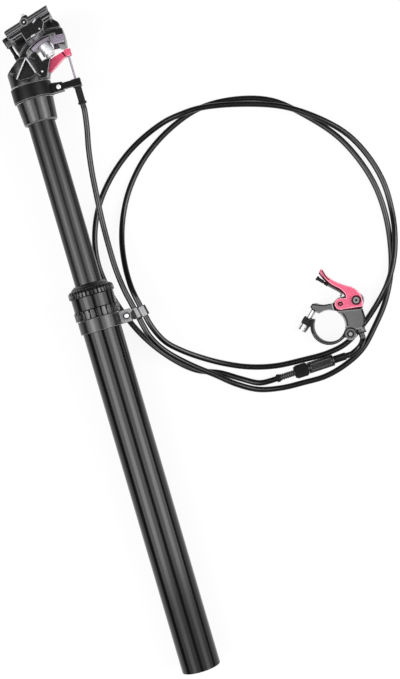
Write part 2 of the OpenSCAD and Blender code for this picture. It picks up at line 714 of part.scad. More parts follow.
module adjuster_ferrule() color([0.08, 0.08, 0.08]) on_adjuster()
    translate([0, 0, adjuster_body_x + body_len]) ring(housing_r + 0.65, wire_hole_r, out_len);

// The remote, drawn about the handlebar's axis. It leans on the strand of cable that passes under it.

remote_at = [153.4, 202.1];
remote_tilt = 10.5;
lean_x = -bar_r - strap_wall - 0.2;
hinge = [12.8, -9.3];
hinge_r = 4.2;
strap_pin_r = 1.5;
fork_t = 3;
stop_x = 19.7;
stop_y = -10.5;
thumb_pivot = [23.1, 12.1];
thumb_bolt_r = 2.5;
pinch = [11.8, 12.6];
ear_t = remote_w - thumb_t - 0.7;
thumb_z = ear_t + pass_gap;
screw_angle = 43.5;
strap_screw_r = 2;
lug = [-5.8, 15.5];
boss_far = 14.2;
boss_t = 5;

function remote_point(p) = [
    remote_at[0] + lean_x + (p[0] - lean_x) * cos(remote_tilt) - p[2] * sin(remote_tilt),
    remote_at[1] + p[1],
    table_z + (p[0] - lean_x) * sin(remote_tilt) + p[2] * cos(remote_tilt)
];

module on_remote() translate([remote_at[0] + lean_x, remote_at[1], table_z]) rotate([0, -remote_tilt, 0])
    translate([-lean_x, 0, 0]) children();

module remote_body() color([0.3, 0.31, 0.33]) on_remote() difference() {
    union() {
        linear_extrude(remote_w) body_plan();
        linear_extrude(ear_t) ear_plan();
        translate([hinge[0], hinge[1], 0]) cylinder(r = hinge_r, h = remote_w);
        translate([stop_x, stop_y + 8, remote_w / 2]) rotate([90, 0, 0]) cylinder(r = 3.4, h = 8);
    }
    translate([0, 0, -1]) cylinder(r = bar_r, h = remote_w + 2);
    translate([hinge[0], hinge[1], fork_t]) linear_extrude(remote_w - 2 * fork_t) fork_slot();
    translate([hinge[0], hinge[1], -1]) cylinder(r = strap_pin_r, h = remote_w + 2);
    translate([thumb_pivot[0], thumb_pivot[1], -1]) cylinder(r = thumb_bolt_r, h = ear_t + 2);
    translate([stop_x, stop_y - 1, remote_w / 2]) rotate([-90, 0, 0]) cylinder(r = wire_hole_r, h = 30);
    translate([lug[0], lug[1], remote_w / 2]) rotate([0, 0, screw_angle]) rotate([0, 90, 0])
        cylinder(r = strap_screw_r + 0.5, h = 40, center = true);
}

// room between the fork's prongs for the strap's eye and its neck
module fork_slot() union() {
    circle(r = hinge_r + pass_gap);
    rotate(200) square([30, 12]);
}

// the block beside the ring, the arm over the ring and the lug at its end
module body_plan() difference() {
    union() {
        polygon([
            [0, 0], [8.6, 8.4], [25, 5.2], [25.2, 0], [23.9, -5.4], [22, -7.4], [hinge[0] + 3.4, -7.4], hinge
        ]);
        polygon([
            [6.4, 8], [6.6, 14.5], [0, 15.2], [-4, 16.8], [-7, 18.2], [-8.8, 16.6], [-8.2, 13.8], [-4, 10]
        ]);
        translate([lug[0], lug[1]]) circle(r = 2.6);
    }
    translate([-20, -20]) square([28, 20]);
}

// the flange under the thumb lever
module ear_plan() hull() {
    translate(thumb_pivot) circle(r = 4.8, $fn = 32);
    translate(pinch) circle(r = 4.6, $fn = 32);
    translate([7, 11]) circle(r = 3.2, $fn = 32);
    translate([22, 4]) circle(r = 2, $fn = 32);
}

module bar_strap() color([0.26, 0.27, 0.29]) on_remote() difference() {
    union() {
        intersection() {
            ring(bar_r + strap_wall, bar_r, remote_w);
            translate([0, 0, -1]) linear_extrude(remote_w + 2) polygon([
                [0, 0], [-30, 24], [-30, -30], [0, -30], 2 * hinge
            ]);
        }
        translate([hinge[0], hinge[1], fork_t + pass_gap])
            cylinder(r = hinge_r, h = remote_w - 2 * (fork_t + pass_gap));
        translate([lug[0], lug[1], 1.8]) rotate([0, 0, screw_angle])
            translate([-boss_far, -3.6, 0]) cube([boss_t, 6.8, remote_w - 3.6]);
    }
    translate([0, 0, -1]) cylinder(r = bar_r, h = remote_w + 2);
    translate([hinge[0], hinge[1], -1]) cylinder(r = strap_pin_r + run_gap, h = remote_w + 2);
    for (z = [-1, remote_w - fork_t - pass_gap]) translate([hinge[0], hinge[1], z])
        cylinder(r = hinge_r + pass_gap, h = fork_t + pass_gap + 1);
    translate([lug[0], lug[1], remote_w / 2]) rotate([0, 0, screw_angle]) rotate([0, 90, 0])
        cylinder(r = strap_screw_r, h = 60, center = true);
}

module strap_pin() color([0.75, 0.75, 0.76]) on_remote() translate([hinge[0], hinge[1], 0])
    cylinder(r = strap_pin_r, h = remote_w);

module strap_screw() color([0.86, 0.86, 0.87]) on_remote() translate([lug[0], lug[1], remote_w / 2])
    rotate([0, 0, screw_angle]) rotate([0, 90, 0]) difference() {
        union() {
            translate([0, 0, -boss_far - 5]) cylinder(r = 3.4, h = 5);
            translate([0, 0, -boss_far]) cylinder(r = strap_screw_r, h = boss_far + 2.4);
        }
        translate([0, 0, -boss_far - 6]) cylinder(r = 1.7, h = 4, $fn = 6);
    }

module thumb_lever() color([0.9, 0.25, 0.4]) on_remote() translate([0, 0, thumb_z]) difference() {
    linear_extrude(thumb_t) thumb_plan();
    translate([thumb_pivot[0], thumb_pivot[1], -1]) cylinder(r = thumb_bolt_r + run_gap, h = thumb_t + 2);
    translate([pinch[0], pinch[1], -1]) cylinder(r = 1.5, h = thumb_t + 2);
}

// a lever with an eye at its pivot, an eye for the wire and a curved paddle
module thumb_plan() union() {
    translate(pinch) circle(r = 4);
    polygon(concat(
        [pinch + [-0.6, -3.9], thumb_pivot + [2.6, -5.3]],
        curve(thumb_outer, 3),
        curve(thumb_inner, 3),
        [pinch + [2, 3.4]]
    ));
}

thumb_outer = [
    thumb_pivot + [3.4, -4.4], thumb_pivot + [4, 0], thumb_pivot + [3.1, 4.6], [23.1, 21.2], [18.2, 24.4],
    [11.8, 29.4], [7.8, 34.4], [5.9, 40]
];
thumb_inner = [[4, 38.4], [5.8, 33.9], [9.6, 27.4], [14.6, 22.6], [17, 18], [16.6, 15.4]];

module thumb_bolt() color([0.6, 0.6, 0.6]) on_remote() translate([thumb_pivot[0], thumb_pivot[1], 0])
difference() {
    union() {
        cylinder(r = thumb_bolt_r, h = thumb_z + thumb_t + pass_gap);
        translate([0, 0, thumb_z + thumb_t + pass_gap]) cylinder(r = 3.3, h = 1.4);
    }
    translate([0, 0, thumb_z + thumb_t + pass_gap + 0.4]) cylinder(r = 2, h = 3, $fn = 6);
}

module thumb_nut() color([0.6, 0.6, 0.6]) on_remote() translate([thumb_pivot[0], thumb_pivot[1], -2.2])
    cylinder(r = 4, h = 2.2, $fn = 6);

module pinch_screw() color([0.5, 0.1, 0.2]) on_remote() translate([pinch[0], pinch[1], thumb_z])
difference() {
    union() {
        cylinder(r = 1.5, h = thumb_t);
        translate([0, 0, thumb_t]) cylinder(r = 2.4, h = 1);
    }
    translate([0, 0, thumb_t - 0.2]) cylinder(r = 1.1, h = 2, $fn = 6);
}

// the spare end of the wire, curled under the thumb lever
tail_route = [[12.9, 17.6], [14.2, 18.6], [13.8, 20.4], [11.4, 23], [7.8, 26.6], [5.6, 29.4]];
cap_from = [5.6, 29.4];
cap_len = 7.6;
cap_turn = 124;

module wire_tail() color([0.8, 0.8, 0.82]) on_remote()
    swept_tube(curve([for (p = tail_route) [p[0], p[1], thumb_z + thumb_t / 2]], 2), wire_r, 6);

module wire_cap() color([0.08, 0.08, 0.08]) on_remote()
    translate([cap_from[0], cap_from[1], thumb_z + thumb_t / 2]) rotate([0, 0, cap_turn]) rotate([0, 90, 0]) {
        cylinder(r = wire_r + 0.45, h = cap_len);
        translate([0, 0, cap_len - 1.4]) cylinder(r = wire_r + 0.9, h = 1.4);
    }

// The cable housing, swept along its route with a tube of eight sides

// a point between b and c on a smooth curve through a, b, c and d
function curve_point(a, b, c, d, t) =
    let (before = sqrt(norm(b - a)), here = sqrt(norm(c - b)), after = sqrt(norm(d - c)))
    let (leave = c - b + here * ((b - a) / before - (c - a) / (before + here)))
    let (reach = c - b + here * ((d - c) / after - (d - b) / (here + after)))
    b + leave * t + (3 * (c - b) - 2 * leave - reach) * t * t + (2 * (b - c) + leave + reach) * t * t * t;

function curve(route, steps) = let (n = len(route) - 1) concat(
    [for (i = [0 : n - 1], k = [0 : steps - 1])
        let (a = i == 0 ? 2 * route[0] - route[1] : route[i - 1])
        let (d = i == n - 1 ? 2 * route[n] - route[n - 1] : route[i + 2])
        curve_point(a, route[i], route[i + 1], d, k / steps)],
    [route[n]]
);

function unit(v) = v / norm(v);

function ring_points(path, i, r, sides) =
    let (n = len(path) - 1)
    let (ahead = unit(path[min(i + 1, n)] - path[max(i - 1, 0)]))
    let (across = unit(cross(ahead, [0, 0, 1])))
    let (up = cross(across, ahead))
    [for (k = [0 : sides - 1]) let (a = (k + 0.5) * 360 / sides)
        path[i] + r * (across * cos(a) + up * sin(a))];

module swept_tube(path, r, sides = 8) {
    n = len(path) - 1;
    points = concat([for (i = [0 : n]) each ring_points(path, i, r, sides)], [path[0], path[n]]);
    walls = [for (i = [0 : n - 1], k = [0 : sides - 1])
        let (a = i * sides + k, b = i * sides + (k + 1) % sides)
        each [[a, b, b + sides], [a, b + sides, a + sides]]];
    ends = [for (k = [0 : sides - 1]) each [
        [len(points) - 2, (k + 1) % sides, k],
        [len(points) - 1, n * sides + k, n * sides + (k + 1) % sides]
    ]];
    polyhedron(points, concat(walls, ends));
}

// least clear distance between two stretches of one tube, measured on its points
function self_gap(path, r, skip) =
    let (n = len(path) - 1)
    min([for (i = [0 : n - skip], j = [i + skip : n]) norm(path[i] - path[j])]) - 2 * r;

function on_table(p) = [p[0], p[1], table_z + p[2]];

// route of the upper strand, as rear, depth and height along the post
upper_route = concat(
    [for (z = [0, 2, 4]) [wire_x, 0, cup_z + ferrule_foot_z - z]],
    [[29, 1, 380], [26, 2, 366], [23.6, 3, 350], [22, 3, 332]],
    [[20.8, 3, 314], [20.4, 2, 297], [20.6, 1, 281]],
    [for (z = [12, 4, 0, -clip_h]) strand_point(0, clip_z + clip_h + z)]
);

// route of the loops, as x, y and height of the middle of the housing above the table
low = 2.1;
hump = 6.7;
first_loop = [
    [29.4, 232, 19.8], [33, 224, 16.4], [40, 214.4, 11.8], [53, 202, 8.4], [66, 191.6, hump],
    [78, 181.6, 6.4], [92, 173.4, 3.8], [108, 169.8, 2.4], [124, 169, low], [140, 169, low], [156, 173, low],
    [170, 180, low], [183, 193, low], [195, 208, low], [205, 228, low], [210, 248, low], [212, 268, low],
    [210.6, 288, low], [205, 308, low], [195, 328, low], [178, 348, low], [158, 365, low], [134, 373, low],
    [108, 374, low], [84, 366, low], [62, 352, low], [46, 335, 2.3], [36, 318, 3.4], [29.8, 300, 8],
    [27.2, 282, 14.6], [27.2, 267, 19.6]
];
second_loop = [
    [35.2, 231, 18.4], [40, 222.6, 15], [48.6, 214.4, 10.6], [60, 206, 6], [74, 197.6, 2.6], [90, 190.4, low],
    [108, 185.8, low], [128, 184.4, low], [146, 184.2, low], [160, 187, low], [174, 195.4, 2.4],
    [188, 207, 3.6],
    [199, 219, hump], [208, 234, hump], [214, 251, 5.4], [217, 268, 2.6], [217, 288, low], [212, 308, 2.4],
    [202, 327, 4], [186, 343, hump], [164, 358, hump], [136, 368, hump], [108, 373.4, hump], [94, 373, hump],
    [80, 371, 4.4], [56, 361, 2.4], [36, 346, low], [21, 328, low], [12, 308, low], [9, 290, low],
    [10.6, 272, low], [16, 252, low], [26, 230, low], [40, 211, low], [54, 198.6, low], [70, 191.8, low],
    [83, 183.6, 2.8], [94, 177.6, 4.8]
];
loops_route = concat(
    [for (z = [0, 2, 4]) lay_point(strand_point(0, clip_z - z))],
    [for (p = first_loop) on_table(p)],
    [for (z = [clip_h + 6, clip_h + 2, 0, -4]) lay_point(strand_point(1, clip_z + z))],
    [for (p = second_loop) on_table(p)],
    [for (x = [-4, -2, 0]) adjuster_point(x)]
);

// route of the short end into the remote
end_route = concat(
    [for (x = [0, 2, 4]) adjuster_point(adjuster_len + x)],
    [[168.6, 182.6, table_z + 6.6]],
    [for (y = [-4, -2, 0]) remote_point([stop_x, stop_y + y, remote_w / 2])]
);

module cable_upper() color([0.08, 0.08, 0.08])
    swept_tube(curve([for (p = upper_route) lay_point(p)], 2), housing_r);

module cable_loops() color([0.08, 0.08, 0.08]) {
    echo(least_gap = self_gap(curve(loops_route, 6), housing_r, 18));
    swept_tube(curve(loops_route, 2), housing_r);
}

module cable_end() color([0.08, 0.08, 0.08]) swept_tube(curve(end_route, 4), housing_r);

outer_tube();
foot_plug();
foot_bolt();
gas_rod();
top_bush();
lock_ring();
collar();
knurled_cap();
dust_wiper();
cable_clip();
clip_screw();
stanchion();
low_bush();
guide_keys();
gas_cylinder();
gas_gland();
head();
cable_bracket();
bracket_screw();
stop_ferrule();
head_lever();
lever_pin();
anchor_screw();
valve_pin();
head_wire();
lower_cradle();
top_plate();
clamp_bolt();
clamp_washer();
clamp_nut();
front_screw();
cable_upper();
cable_loops();
cable_end();
adjuster_ferrule();
adjuster_body();
adjuster_barrel();
adjuster_tail();
remote_body();
bar_strap();
strap_pin();
strap_screw();
thumb_lever();
thumb_bolt();
thumb_nut();
pinch_screw();
wire_tail();
wire_cap();
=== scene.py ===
import json
import math

import bmesh
import bpy
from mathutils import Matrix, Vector


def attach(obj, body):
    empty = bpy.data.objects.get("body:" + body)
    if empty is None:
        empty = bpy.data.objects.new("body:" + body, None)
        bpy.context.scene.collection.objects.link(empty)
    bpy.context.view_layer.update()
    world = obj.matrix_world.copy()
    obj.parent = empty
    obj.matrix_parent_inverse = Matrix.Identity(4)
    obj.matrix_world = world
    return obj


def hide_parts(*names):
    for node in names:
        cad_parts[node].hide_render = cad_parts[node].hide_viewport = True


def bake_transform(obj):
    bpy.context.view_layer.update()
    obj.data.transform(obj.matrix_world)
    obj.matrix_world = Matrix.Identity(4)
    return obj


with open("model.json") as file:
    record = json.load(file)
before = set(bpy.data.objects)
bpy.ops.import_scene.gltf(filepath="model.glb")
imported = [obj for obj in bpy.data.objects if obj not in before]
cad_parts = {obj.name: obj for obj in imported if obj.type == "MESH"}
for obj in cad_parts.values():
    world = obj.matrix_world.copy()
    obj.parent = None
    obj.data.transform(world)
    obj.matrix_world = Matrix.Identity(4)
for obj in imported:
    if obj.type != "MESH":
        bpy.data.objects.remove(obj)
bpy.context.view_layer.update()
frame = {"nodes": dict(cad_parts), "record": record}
nodes = frame["nodes"]
scene = bpy.context.scene
scene.view_settings.view_transform = "Standard"

# A millimetre in metres, how far the post's axis rises from the table, and the table's height
MM = 0.001
LAY = math.radians(1.70861)
TABLE_Z = -13.594


def lay_point(t, depth, s):
    """A point given as rear, depth and height along the post, in millimetres."""
    return (t, s * math.cos(LAY) + depth * math.sin(LAY), s * math.sin(LAY) - depth * math.cos(LAY))


# Camera: straight down on the table, turned so that the post leans as in the photograph
SENSOR_HEIGHT = 36
LENS = 76.9
CAMERA_AT = (0.0627, 0.2183, 1.005)
CAMERA_TURN = math.radians(-16.26)
camera = bpy.data.objects.new("camera", bpy.data.cameras.new("camera"))
scene.collection.objects.link(camera)
camera.data.sensor_fit = "VERTICAL"
camera.data.sensor_height = SENSOR_HEIGHT
camera.data.lens = LENS
camera.location = CAMERA_AT
camera.rotation_euler = (0, 0, CAMERA_TURN)
scene.camera = camera


# Cables: the same routes as the solids
def curve_point(a, b, c, d, t):
    """A point on the smooth curve from b to c, a share t of the way, between its neighbours a and d."""
    before, here, after = (math.sqrt((q - p).length) for p, q in ((a, b), (b, c), (c, d)))
    leave = c - b + here * ((b - a) / before - (c - a) / (before + here))
    reach = c - b + here * ((d - c) / after - (d - b) / (here + after))
    return b + leave * t + (3 * (c - b) - 2 * leave - reach) * t**2 + (2 * (b - c) + leave + reach) * t**3


def curve(route, steps):
    """A smooth curve through a route, with so many steps from each point to the next."""
    p = [Vector(v) for v in route]
    p = [2 * p[0] - p[1], *p, 2 * p[-1] - p[-2]]
    path = [curve_point(*p[i:i + 4], k / steps) for i in range(len(p) - 3) for k in range(steps)]
    return [*path, p[-2]]


def on_table(points):
    """Points whose heights are given from the table."""
    return [(x, y, TABLE_Z + h) for x, y, h in points]


def tube(name, path, radius, material, sides=24):
    """A mesh tube along path, in millimetres."""
    mesh = bpy.data.meshes.new(name)
    made = bmesh.new()
    rings = []
    last = len(path) - 1
    for i, p in enumerate(path):
        ahead = (path[min(i + 1, last)] - path[max(i - 1, 0)]).normalized()
        across = ahead.cross(Vector((0, 0, 1))).normalized()
        up = across.cross(ahead)
        ring = []
        for k in range(sides):
            a = 2 * math.pi * k / sides
            ring.append(made.verts.new((p + radius * (across * math.cos(a) + up * math.sin(a))) * MM))
        rings.append(ring)
    for a, b in zip(rings, rings[1:]):
        for k in range(sides):
            n = (k + 1) % sides
            made.faces.new((a[k], b[k], b[n], a[n])).smooth = True
    made.faces.new(rings[0])
    made.faces.new(rings[-1][::-1])
    bmesh.ops.recalc_face_normals(made, faces=made.faces)
    made.to_mesh(mesh)
    made.free()
    obj = bpy.data.objects.new(name, mesh)
    scene.collection.objects.link(obj)
    mesh.materials.append(material)
    return obj


# Finishes: how each surface looks
def shader(name):
    """A new material, with its tree and its main node."""
    material = bpy.data.materials.new(name)
    material.use_nodes = True
    tree = material.node_tree
    return material, tree, tree.nodes["Principled BSDF"]


def set_sockets(node, **values):
    """Sets the inputs of a node, whose names have spaces for underscores."""
    for key, value in values.items():
        node.inputs[key.replace("_", " ")].default_value = value


def noise(tree, scale, detail, stretch):
    """The value of a noise texture over the object, stretched along an axis where stretch is small."""
    coordinates = tree.nodes.new("ShaderNodeTexCoord")
    mapping = tree.nodes.new("ShaderNodeMapping")
    mapping.inputs["Scale"].default_value = stretch
    texture = tree.nodes.new("ShaderNodeTexNoise")
    texture.inputs["Scale"].default_value = scale
    texture.inputs["Detail"].default_value = detail
    tree.links.new(coordinates.outputs["Object"], mapping.inputs["Vector"])
    tree.links.new(mapping.outputs["Vector"], texture.inputs["Vector"])
    return texture.outputs["Fac"]


def spread(tree, value, low, high, start=0.3, end=0.7):
    """The value, taken from the range of start to end over to the range of low to high."""
    node = tree.nodes.new("ShaderNodeMapRange")
    for key, number in (("From Min", start), ("From Max", end), ("To Min", low), ("To Max", high)):
        node.inputs[key].default_value = number
    tree.links.new(value, node.inputs["Value"])
    return node.outputs["Result"]


def two_tone(tree, value, dark, light, start=0.35, end=0.65):
    """The colour between dark and light that a value gives."""
    ramp = tree.nodes.new("ShaderNodeValToRGB")
    ramp.color_ramp.elements[0].position = start
    ramp.color_ramp.elements[1].position = end
    ramp.color_ramp.elements[0].color = (*dark, 1)
    ramp.color_ramp.elements[1].color = (*light, 1)
    tree.links.new(value, ramp.inputs["Fac"])
    return ramp.outputs["Color"]


def bump(tree, bsdf, value, strength, distance):
    """Makes a value show as small heights on the surface."""
    node = tree.nodes.new("ShaderNodeBump")
    node.inputs["Strength"].default_value = strength
    node.inputs["Distance"].default_value = distance
    tree.links.new(value, node.inputs["Height"])
    tree.links.new(node.outputs["Normal"], bsdf.inputs["Normal"])


BROAD_SCALE = 35
BROAD_DETAIL = 4
FINE_SCALE = 900
FINE_DETAIL = 3
GRAIN_DEPTH = 0.01 * MM


def finish_of(slot, name, dark, light, rough, metallic=0.0, stretch=(1, 1, 1), grain=0.04, **more):
    """A surface with two close tones, uneven gloss and a fine grain. Its slot is not used."""
    material, tree, bsdf = shader(name)
    set_sockets(bsdf, Metallic=metallic, **more)
    broad = noise(tree, BROAD_SCALE, BROAD_DETAIL, stretch)
    fine = noise(tree, FINE_SCALE, FINE_DETAIL, stretch)
    tree.links.new(two_tone(tree, broad, dark, light), bsdf.inputs["Base Color"])
    tree.links.new(spread(tree, fine, *rough), bsdf.inputs["Roughness"])
    bump(tree, bsdf, fine, grain, GRAIN_DEPTH)
    return material


COOL = 1.04


def grey(level):
    """A grey with a little more blue in it."""
    return level, level, level * COOL


ALONG_POST = {"stretch": (1, 0.02, 1), "Specular_IOR_Level": 0.32}
LOW_GLOSS = {"Specular_IOR_Level": 0.15}
black_tube = finish_of("tube_black", "black_tube", grey(0.0025), grey(0.005), (0.12, 0.17), **ALONG_POST)
black_slide = finish_of("tube_black", "black_slide", grey(0.008), grey(0.012), (0.2, 0.27), **ALONG_POST)
black_alloy = finish_of("tube_black", "black_alloy", grey(0.004), grey(0.009), (0.2, 0.28))
band_black = finish_of("tube_black", "band_black", grey(0.004), grey(0.008), (0.3, 0.4), **LOW_GLOSS)
satin_alloy = finish_of("tube_black", "satin_alloy", grey(0.006), grey(0.016), (0.3, 0.4))
# A paler tone of the black alloy: a painted highlight on rounded edges, ridges and the clamp's bosses, and
# the tone of the lock ring's grub screw
pale_highlight_alloy = finish_of("tube_black", "pale_highlight_alloy", grey(0.1), grey(0.2), (0.3, 0.4))
# A pale grey for raised ridges and bars: painted highlights along edges
ridge_highlight_grey = finish_of("bare_alloy", "ridge_highlight_grey", grey(0.4), grey(0.55), (0.3, 0.4))
black_ring = finish_of("ring_black", "black_ring", grey(0.005), grey(0.011), (0.2, 0.28))
# A paler tone of the black rings: a painted highlight on their rounded edges
pale_highlight_ring = finish_of("ring_black", "pale_highlight_ring", grey(0.05), grey(0.1), (0.3, 0.4))
grey_alloy = finish_of("remote_grey", "grey_alloy", grey(0.05), grey(0.065), (0.3, 0.42))
# A paler grey: a painted highlight on the remote's rounded edges and on a line round its bore
pale_highlight_grey = finish_of("remote_grey", "pale_highlight_grey", grey(0.22), grey(0.32), (0.3, 0.4))
pale_grey = finish_of("remote_grey", "pale_grey", grey(0.22), grey(0.3), (0.3, 0.42))
mauve_steel = finish_of("steel", "mauve_steel", (0.22, 0.19, 0.24), (0.32, 0.28, 0.34), (0.35, 0.45))
red_alloy = finish_of("red_anodised", "red_alloy", (0.54, 0.05, 0.122), (0.6, 0.064, 0.15),
                      (0.22, 0.34), 0.1)
# The head lever's red, painted lighter than the thumb lever's to make up for the shade it gets beside the
# head
red_painted_lighter = finish_of("red_anodised", "red_painted_lighter", (0.58, 0.06, 0.13), (0.64, 0.072, 0.15),
                       (0.22, 0.34), 0.1)
# A paler red: a painted highlight on the levers' rounded edges
pale_highlight_red = finish_of("red_anodised", "pale_highlight_red", (0.85, 0.3, 0.38), (0.92, 0.38, 0.46), (0.3, 0.4))
dull_red = finish_of("red_anodised", "dull_red", (0.42, 0.07, 0.14), (0.52, 0.09, 0.17), (0.35, 0.45))
dark_red = finish_of("dark_red", "dark_red", (0.03, 0.001, 0.005), (0.045, 0.002, 0.008),
                     (0.5, 0.6), **LOW_GLOSS)
bright_steel = finish_of("steel", "bright_steel", grey(0.72), grey(0.82), (0.3, 0.4), 0.25)
screw_steel = finish_of("steel", "screw_steel", grey(0.8), grey(0.9), (0.2, 0.3), 0.9)
grey_steel = finish_of("steel", "grey_steel", grey(0.15), grey(0.21), (0.3, 0.4), 0.3)
black_steel = finish_of("dark_steel", "black_steel", grey(0.005), grey(0.009), (0.4, 0.5), **LOW_GLOSS)
plain_alloy = finish_of("bare_alloy", "plain_alloy", grey(0.5), grey(0.6), (0.25, 0.4), 1.0)
bearing = finish_of("bush", "bearing", (0.3, 0.25, 0.16), (0.36, 0.3, 0.2), (0.4, 0.55))
brass = finish_of("brass_key", "brass", (0.6, 0.42, 0.16), (0.7, 0.5, 0.2), (0.25, 0.4), 1.0)
rubber = finish_of("wiper_rubber", "rubber", grey(0.006), grey(0.01), (0.35, 0.45))
housing = finish_of("housing", "housing", grey(0.003), grey(0.006), (0.22, 0.26), grain=0,
                    Specular_IOR_Level=0.45)
black_plastic = finish_of("fitting_black", "black_plastic", grey(0.005), grey(0.009), (0.4, 0.5),
                          **LOW_GLOSS)

# Routes of the cables. A strand lies on the table with its middle at the first height, and crosses
# another strand at the second
LOW = 2.1
HUMP = 6.7
HOUSING_R = 2.0
CUP_Z = 391.0
CLIP_Z = 243.7
CLIP_H = 9.0
STRAND_X = (25.8, 30.5)
STRAND_LEAN = math.radians(11.6)
WIRE_X = 30.8
FERRULE_FOOT = CUP_Z + 5


def strand_point(k, s):
    """A point on a strand in the clip, as rear, depth and height along the post."""
    return STRAND_X[k] + (CLIP_Z + CLIP_H / 2 - s) * math.tan(STRAND_LEAN), 0, s


upper_route = [lay_point(*p) for p in (
    *((WIRE_X, 0, FERRULE_FOOT - s) for s in (0, 2, 4)),
    (29, 1, 380), (26, 2, 366), (23.6, 3, 350), (22, 3, 332), (20.8, 3, 314), (20.4, 2, 297), (20.6, 1, 281),
    *(strand_point(0, CLIP_Z + CLIP_H + s) for s in (12, 4, 0, -CLIP_H)))]
first_loop = on_table((
    (29.4, 232, 19.8), (33, 224, 16.4), (40, 214.4, 11.8), (53, 202, 8.4), (66, 191.6, HUMP),
    (78, 181.6, 6.4), (92, 173.4, 3.8), (108, 169.8, 2.4), (124, 169, LOW), (140, 169, LOW), (156, 173, LOW),
    (170, 180, LOW), (183, 193, LOW), (195, 208, LOW), (205, 228, LOW), (210, 248, LOW), (212, 268, LOW),
    (210.6, 288, LOW), (205, 308, LOW), (195, 328, LOW), (178, 348, LOW), (158, 365, LOW), (134, 373, LOW),
    (108, 374, LOW), (84, 366, LOW), (62, 352, LOW), (46, 335, 2.3), (36, 318, 3.4), (29.8, 300, 8),
    (27.2, 282, 14.6), (27.2, 267, 19.6)))
second_loop = on_table((
    (35.2, 231, 18.4), (40, 222.6, 15), (48.6, 214.4, 10.6), (60, 206, 6), (74, 197.6, 2.6),
    (90, 190.4, LOW), (108, 185.8, LOW), (128, 184.4, LOW), (146, 184.2, LOW), (160, 187, LOW),
    (174, 195.4, 2.4), (188, 207, 3.6), (199, 219, HUMP), (208, 234, HUMP), (214, 251, 5.4),
    (217, 268, 2.6), (217, 288, LOW), (212, 308, 2.4), (202, 327, 4), (186, 343, HUMP), (164, 358, HUMP),
    (136, 368, HUMP), (108, 373.4, HUMP), (94, 373, HUMP), (80, 371, 4.4), (56, 361, 2.4), (36, 346, LOW),
    (21, 328, LOW), (12, 308, LOW), (9, 290, LOW), (10.6, 272, LOW), (16, 252, LOW), (26, 230, LOW),
    (40, 211, LOW), (54, 198.6, LOW), (70, 191.8, LOW), (83, 183.6, 2.8), (94, 177.6, 4.8)))
ADJUSTER_FOOT = (106.5, 177.0, TABLE_Z + 5)
ADJUSTER_TURN = math.radians(2)
TAIL_LEN = 2.4
STEM_LEN = 10.4
BARREL_LEN = 9.8
BODY_LEN = 18.6
OUT_LEN = 9
PASS_GAP = 0.3
ADJUSTER_LEN = TAIL_LEN + STEM_LEN + BARREL_LEN + BODY_LEN + OUT_LEN + 2 * PASS_GAP


def adjuster_point(x):
    """A point on the adjuster's axis, so far from its tail."""
    return (ADJUSTER_FOOT[0] + x * math.cos(ADJUSTER_TURN), ADJUSTER_FOOT[1] + x * math.sin(ADJUSTER_TURN),
            ADJUSTER_FOOT[2])


TILT = math.radians(10.5)
LEAN_X = -13.3
REMOTE_AT = (153.4, 202.1)
STOP = (19.7, -10.5, 5.5)


def remote_point(x, y, z):
    """A point in the remote's frame: from the handlebar's middle, and up from the face that lies down."""
    return (REMOTE_AT[0] + LEAN_X + (x - LEAN_X) * math.cos(TILT) - z * math.sin(TILT), REMOTE_AT[1] + y,
            TABLE_Z + (x - LEAN_X) * math.sin(TILT) + z * math.cos(TILT))


loops_route = [
    *(lay_point(*strand_point(0, CLIP_Z - s)) for s in (0, 2, 4)),
    *first_loop,
    *(lay_point(*strand_point(1, CLIP_Z + s)) for s in (CLIP_H + 6, CLIP_H + 2, 0, -4)),
    *second_loop,
    *(adjuster_point(x) for x in (-4, -2, 0)),
]
end_route = [
    *(adjuster_point(ADJUSTER_LEN + x) for x in (0, 2, 4)),
    (168.6, 182.6, TABLE_Z + 6.6),
    *(remote_point(STOP[0], STOP[1] + y, STOP[2]) for y in (-4, -2, 0)),
]


SHORT_STEPS = 8
LOOP_STEPS = 6
upper_path = curve(upper_route, SHORT_STEPS)
loops_path = curve(loops_route, LOOP_STEPS)
end_path = curve(end_route, SHORT_STEPS)
upper_cable = tube("upper_cable", upper_path, HOUSING_R, housing)
loops_cable = tube("loops_cable", loops_path, HOUSING_R, housing)
end_cable = tube("end_cable", end_path, HOUSING_R, housing)
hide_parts("cable_upper")
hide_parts("cable_loops")
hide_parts("cable_end")
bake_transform(upper_cable)
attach(loops_cable, "lower")
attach(end_cable, "lower")

# The finish of each node
FINISHES = {
    black_tube: ("outer_tube", "collar"),
    black_slide: ("stanchion",),
    black_alloy: ("head", "lower_cradle", "cable_clip"),
    satin_alloy: ("top_plate",),
    band_black: ("cable_bracket",),
    black_ring: ("lock_ring", "knurled_cap", "foot_plug", "adjuster_body"),
    grey_alloy: ("remote_body",),
    red_alloy: ("thumb_lever",),
    red_painted_lighter: ("head_lever",),
    dark_red: ("pinch_screw",),
    bright_steel: ("foot_bolt", "gas_rod", "clip_screw", "bracket_screw", "anchor_screw", "valve_pin",
                   "clamp_bolt", "clamp_nut"),
    screw_steel: ("strap_screw",),
    mauve_steel: ("clamp_washer", "head_wire"),
    black_steel: ("front_screw", "lever_pin", "thumb_bolt", "thumb_nut"),
    grey_steel: ("strap_pin", "wire_tail"),
    plain_alloy: ("gas_cylinder", "gas_gland"),
    bearing: ("top_bush", "low_bush"),
    brass: ("guide_keys",),
    rubber: ("dust_wiper",),
    housing: ("cable_upper", "cable_loops", "cable_end"),
    black_plastic: ("stop_ferrule", "adjuster_tail", "adjuster_barrel", "adjuster_ferrule", "wire_cap",
                    "bar_strap"),
}
for material, names in FINISHES.items():
    for name in names:
        nodes[name].data.materials.clear()
        nodes[name].data.materials.append(material)
